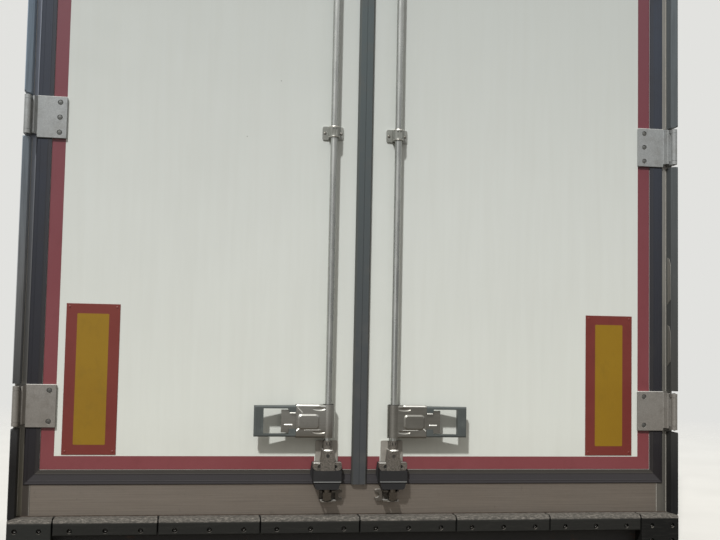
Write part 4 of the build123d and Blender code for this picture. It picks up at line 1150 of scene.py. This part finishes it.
def build_pieces():
    for side, sign in SIDES:
        hinge_screws(side, sign)
        pin_heads(side, sign)
        seal_edges(side, sign)
        gasket_ribs(side, sign)
        plate_details(side)
        guide_screws(side)
        guide_details(side, sign)
        casting_details(side, sign)
        guard_ridges(side, sign)
        keeper_lips(side, sign)
        handle_details(side, sign)
        grip_details(side, sign)
        inner_side(side, sign)
    rubbed_strips()
    bumper_bolts()
    frame_seams()
    lamp_rims()


# Stage

FLOOR_FADES = 2.5
FLOOR_ENDS = 9.0


def floor():
    """A plain floor that fades into the backdrop. It looks pale, but lights the part like dull ground."""
    f = Finish("floor", roughness=0.8)
    mottled = f.remap(f.noise(1.5, 3.0), 0.3, 0.7)
    pale = f.mix(mottled, srgb(196, 195, 191), srgb(204, 203, 199))
    seen = f.nodes.new("ShaderNodeLightPath").outputs["Is Camera Ray"]
    far = f.length(f.axis("X"), f.axis("Y"))
    f.wired(f.shader, {"Alpha": f.remap(far, FLOOR_FADES, FLOOR_ENDS, 1.0, 0.0)})
    mesh = bmesh.new()
    bmesh.ops.create_grid(mesh, x_segments=2, y_segments=2, size=30.0)
    obj = placed("floor", mesh, f.done(f.mix(seen, GROUND, pale)))
    obj.location.z = FLOOR_Z


SUN_TRAVEL = (0.47, 1.0, -1.2)
SUN_STRENGTH = 3.25
SUN_ANGLE = 3.5
SKY_STRENGTH = 0.50
LOW_SKY = (0.28, 0.265, 0.245, 1.0)
HIGH_SKY = (2.1, 2.05, 1.95, 1.0)
BACKDROP = srgb(226, 226, 223)
GROUND = srgb(112, 106, 98)

# The room behind the camera: a share of a turn, from straight behind round by the left, and a grey level
ROOM_LEVELS = (
    (0.0, 0.36), (0.045, 0.46), (0.065, 0.98), (0.10, 0.92), (0.14, 0.46), (0.50, 0.42), (0.80, 0.24),
    (0.95, 0.28), (1.0, 0.36),
)
OVERHEAD_LEVEL = 1.0


def sun():
    lamp = bpy.data.lights.new("key", "SUN")
    lamp.energy = SUN_STRENGTH
    lamp.angle = math.radians(SUN_ANGLE)
    lamp.color = (0.995, 0.992, 0.978)
    obj = bpy.data.objects.new("key", lamp)
    obj.rotation_mode = "QUATERNION"
    obj.rotation_quaternion = Vector(SUN_TRAVEL).to_track_quat("-Z", "Y")
    bpy.context.scene.collection.objects.link(obj)


def sky():
    """Soft light from all round. The camera and reflections see a pale backdrop and a darker room behind."""
    world = bpy.data.worlds.new("sky")
    bpy.context.scene.world = world
    world.use_nodes = True
    world.node_tree.nodes.clear()
    g = Graph(world.node_tree, "Generated")
    turn = g.remap(g.math("ARCTAN2", g.axis("X"), g.axis("Y")), -math.pi, math.pi)
    room = g.ramp(turn, *((position, grey(level)) for position, level in ROOM_LEVELS))
    behind = g.mix(g.remap(g.axis("Z"), 0.12, 0.45, how="SMOOTHSTEP"), room, grey(OVERHEAD_LEVEL))
    backdrop = g.mix(g.remap(g.axis("Y"), -0.20, 0.20, how="SMOOTHSTEP"), behind, BACKDROP)
    light = g.mix(g.remap(g.axis("Z"), 0.0, 1.0, how="SMOOTHSTEP"), LOW_SKY, HIGH_SKY)
    paths = g.nodes.new("ShaderNodeLightPath")
    seen = paths.outputs["Is Camera Ray"]
    for kind in ("Is Glossy Ray", "Is Transmission Ray"):
        seen = g.math("MAXIMUM", seen, paths.outputs[kind])
    lit = g.wired(g.nodes.new("ShaderNodeBackground"), {"Color": light, "Strength": SKY_STRENGTH})
    shown = g.wired(g.nodes.new("ShaderNodeBackground"), {"Color": backdrop})
    sockets = {0: seen, 1: lit.outputs["Background"], 2: shown.outputs["Background"]}
    chosen = g.wired(g.nodes.new("ShaderNodeMixShader"), sockets)
    g.wired(g.nodes.new("ShaderNodeOutputWorld"), {"Surface": chosen.outputs["Shader"]})


def grey(level):
    return (level, level, level, 1.0)


def camera():
    """The photograph's camera: turned, tilted up and rolled as fitted."""
    yaw, pitch, roll = (math.radians(a) for a in (CAMERA_YAW, CAMERA_PITCH, CAMERA_ROLL))
    forward = Vector((math.sin(yaw) * math.cos(pitch), math.cos(yaw) * math.cos(pitch), math.sin(pitch)))
    right = Vector((math.cos(yaw), -math.sin(yaw), 0.0))
    up = right.cross(forward)
    across = right * math.cos(roll) + up * math.sin(roll)
    upward = up * math.cos(roll) - right * math.sin(roll)
    data = bpy.data.cameras.new("camera")
    data.lens = CAMERA_LENS
    data.sensor_fit = "HORIZONTAL"
    data.sensor_width = SENSOR_WIDTH
    obj = bpy.data.objects.new("camera", data)
    turn = Matrix((across, upward, -forward)).transposed().to_4x4()
    obj.matrix_world = Matrix.Translation(CAMERA_PLACE) @ turn
    bpy.context.scene.collection.objects.link(obj)
    bpy.context.scene.camera = obj


dress_nodes()
build_pieces()
floor()
sun()
sky()
camera()
bpy.context.scene.view_settings.view_transform = "Standard"
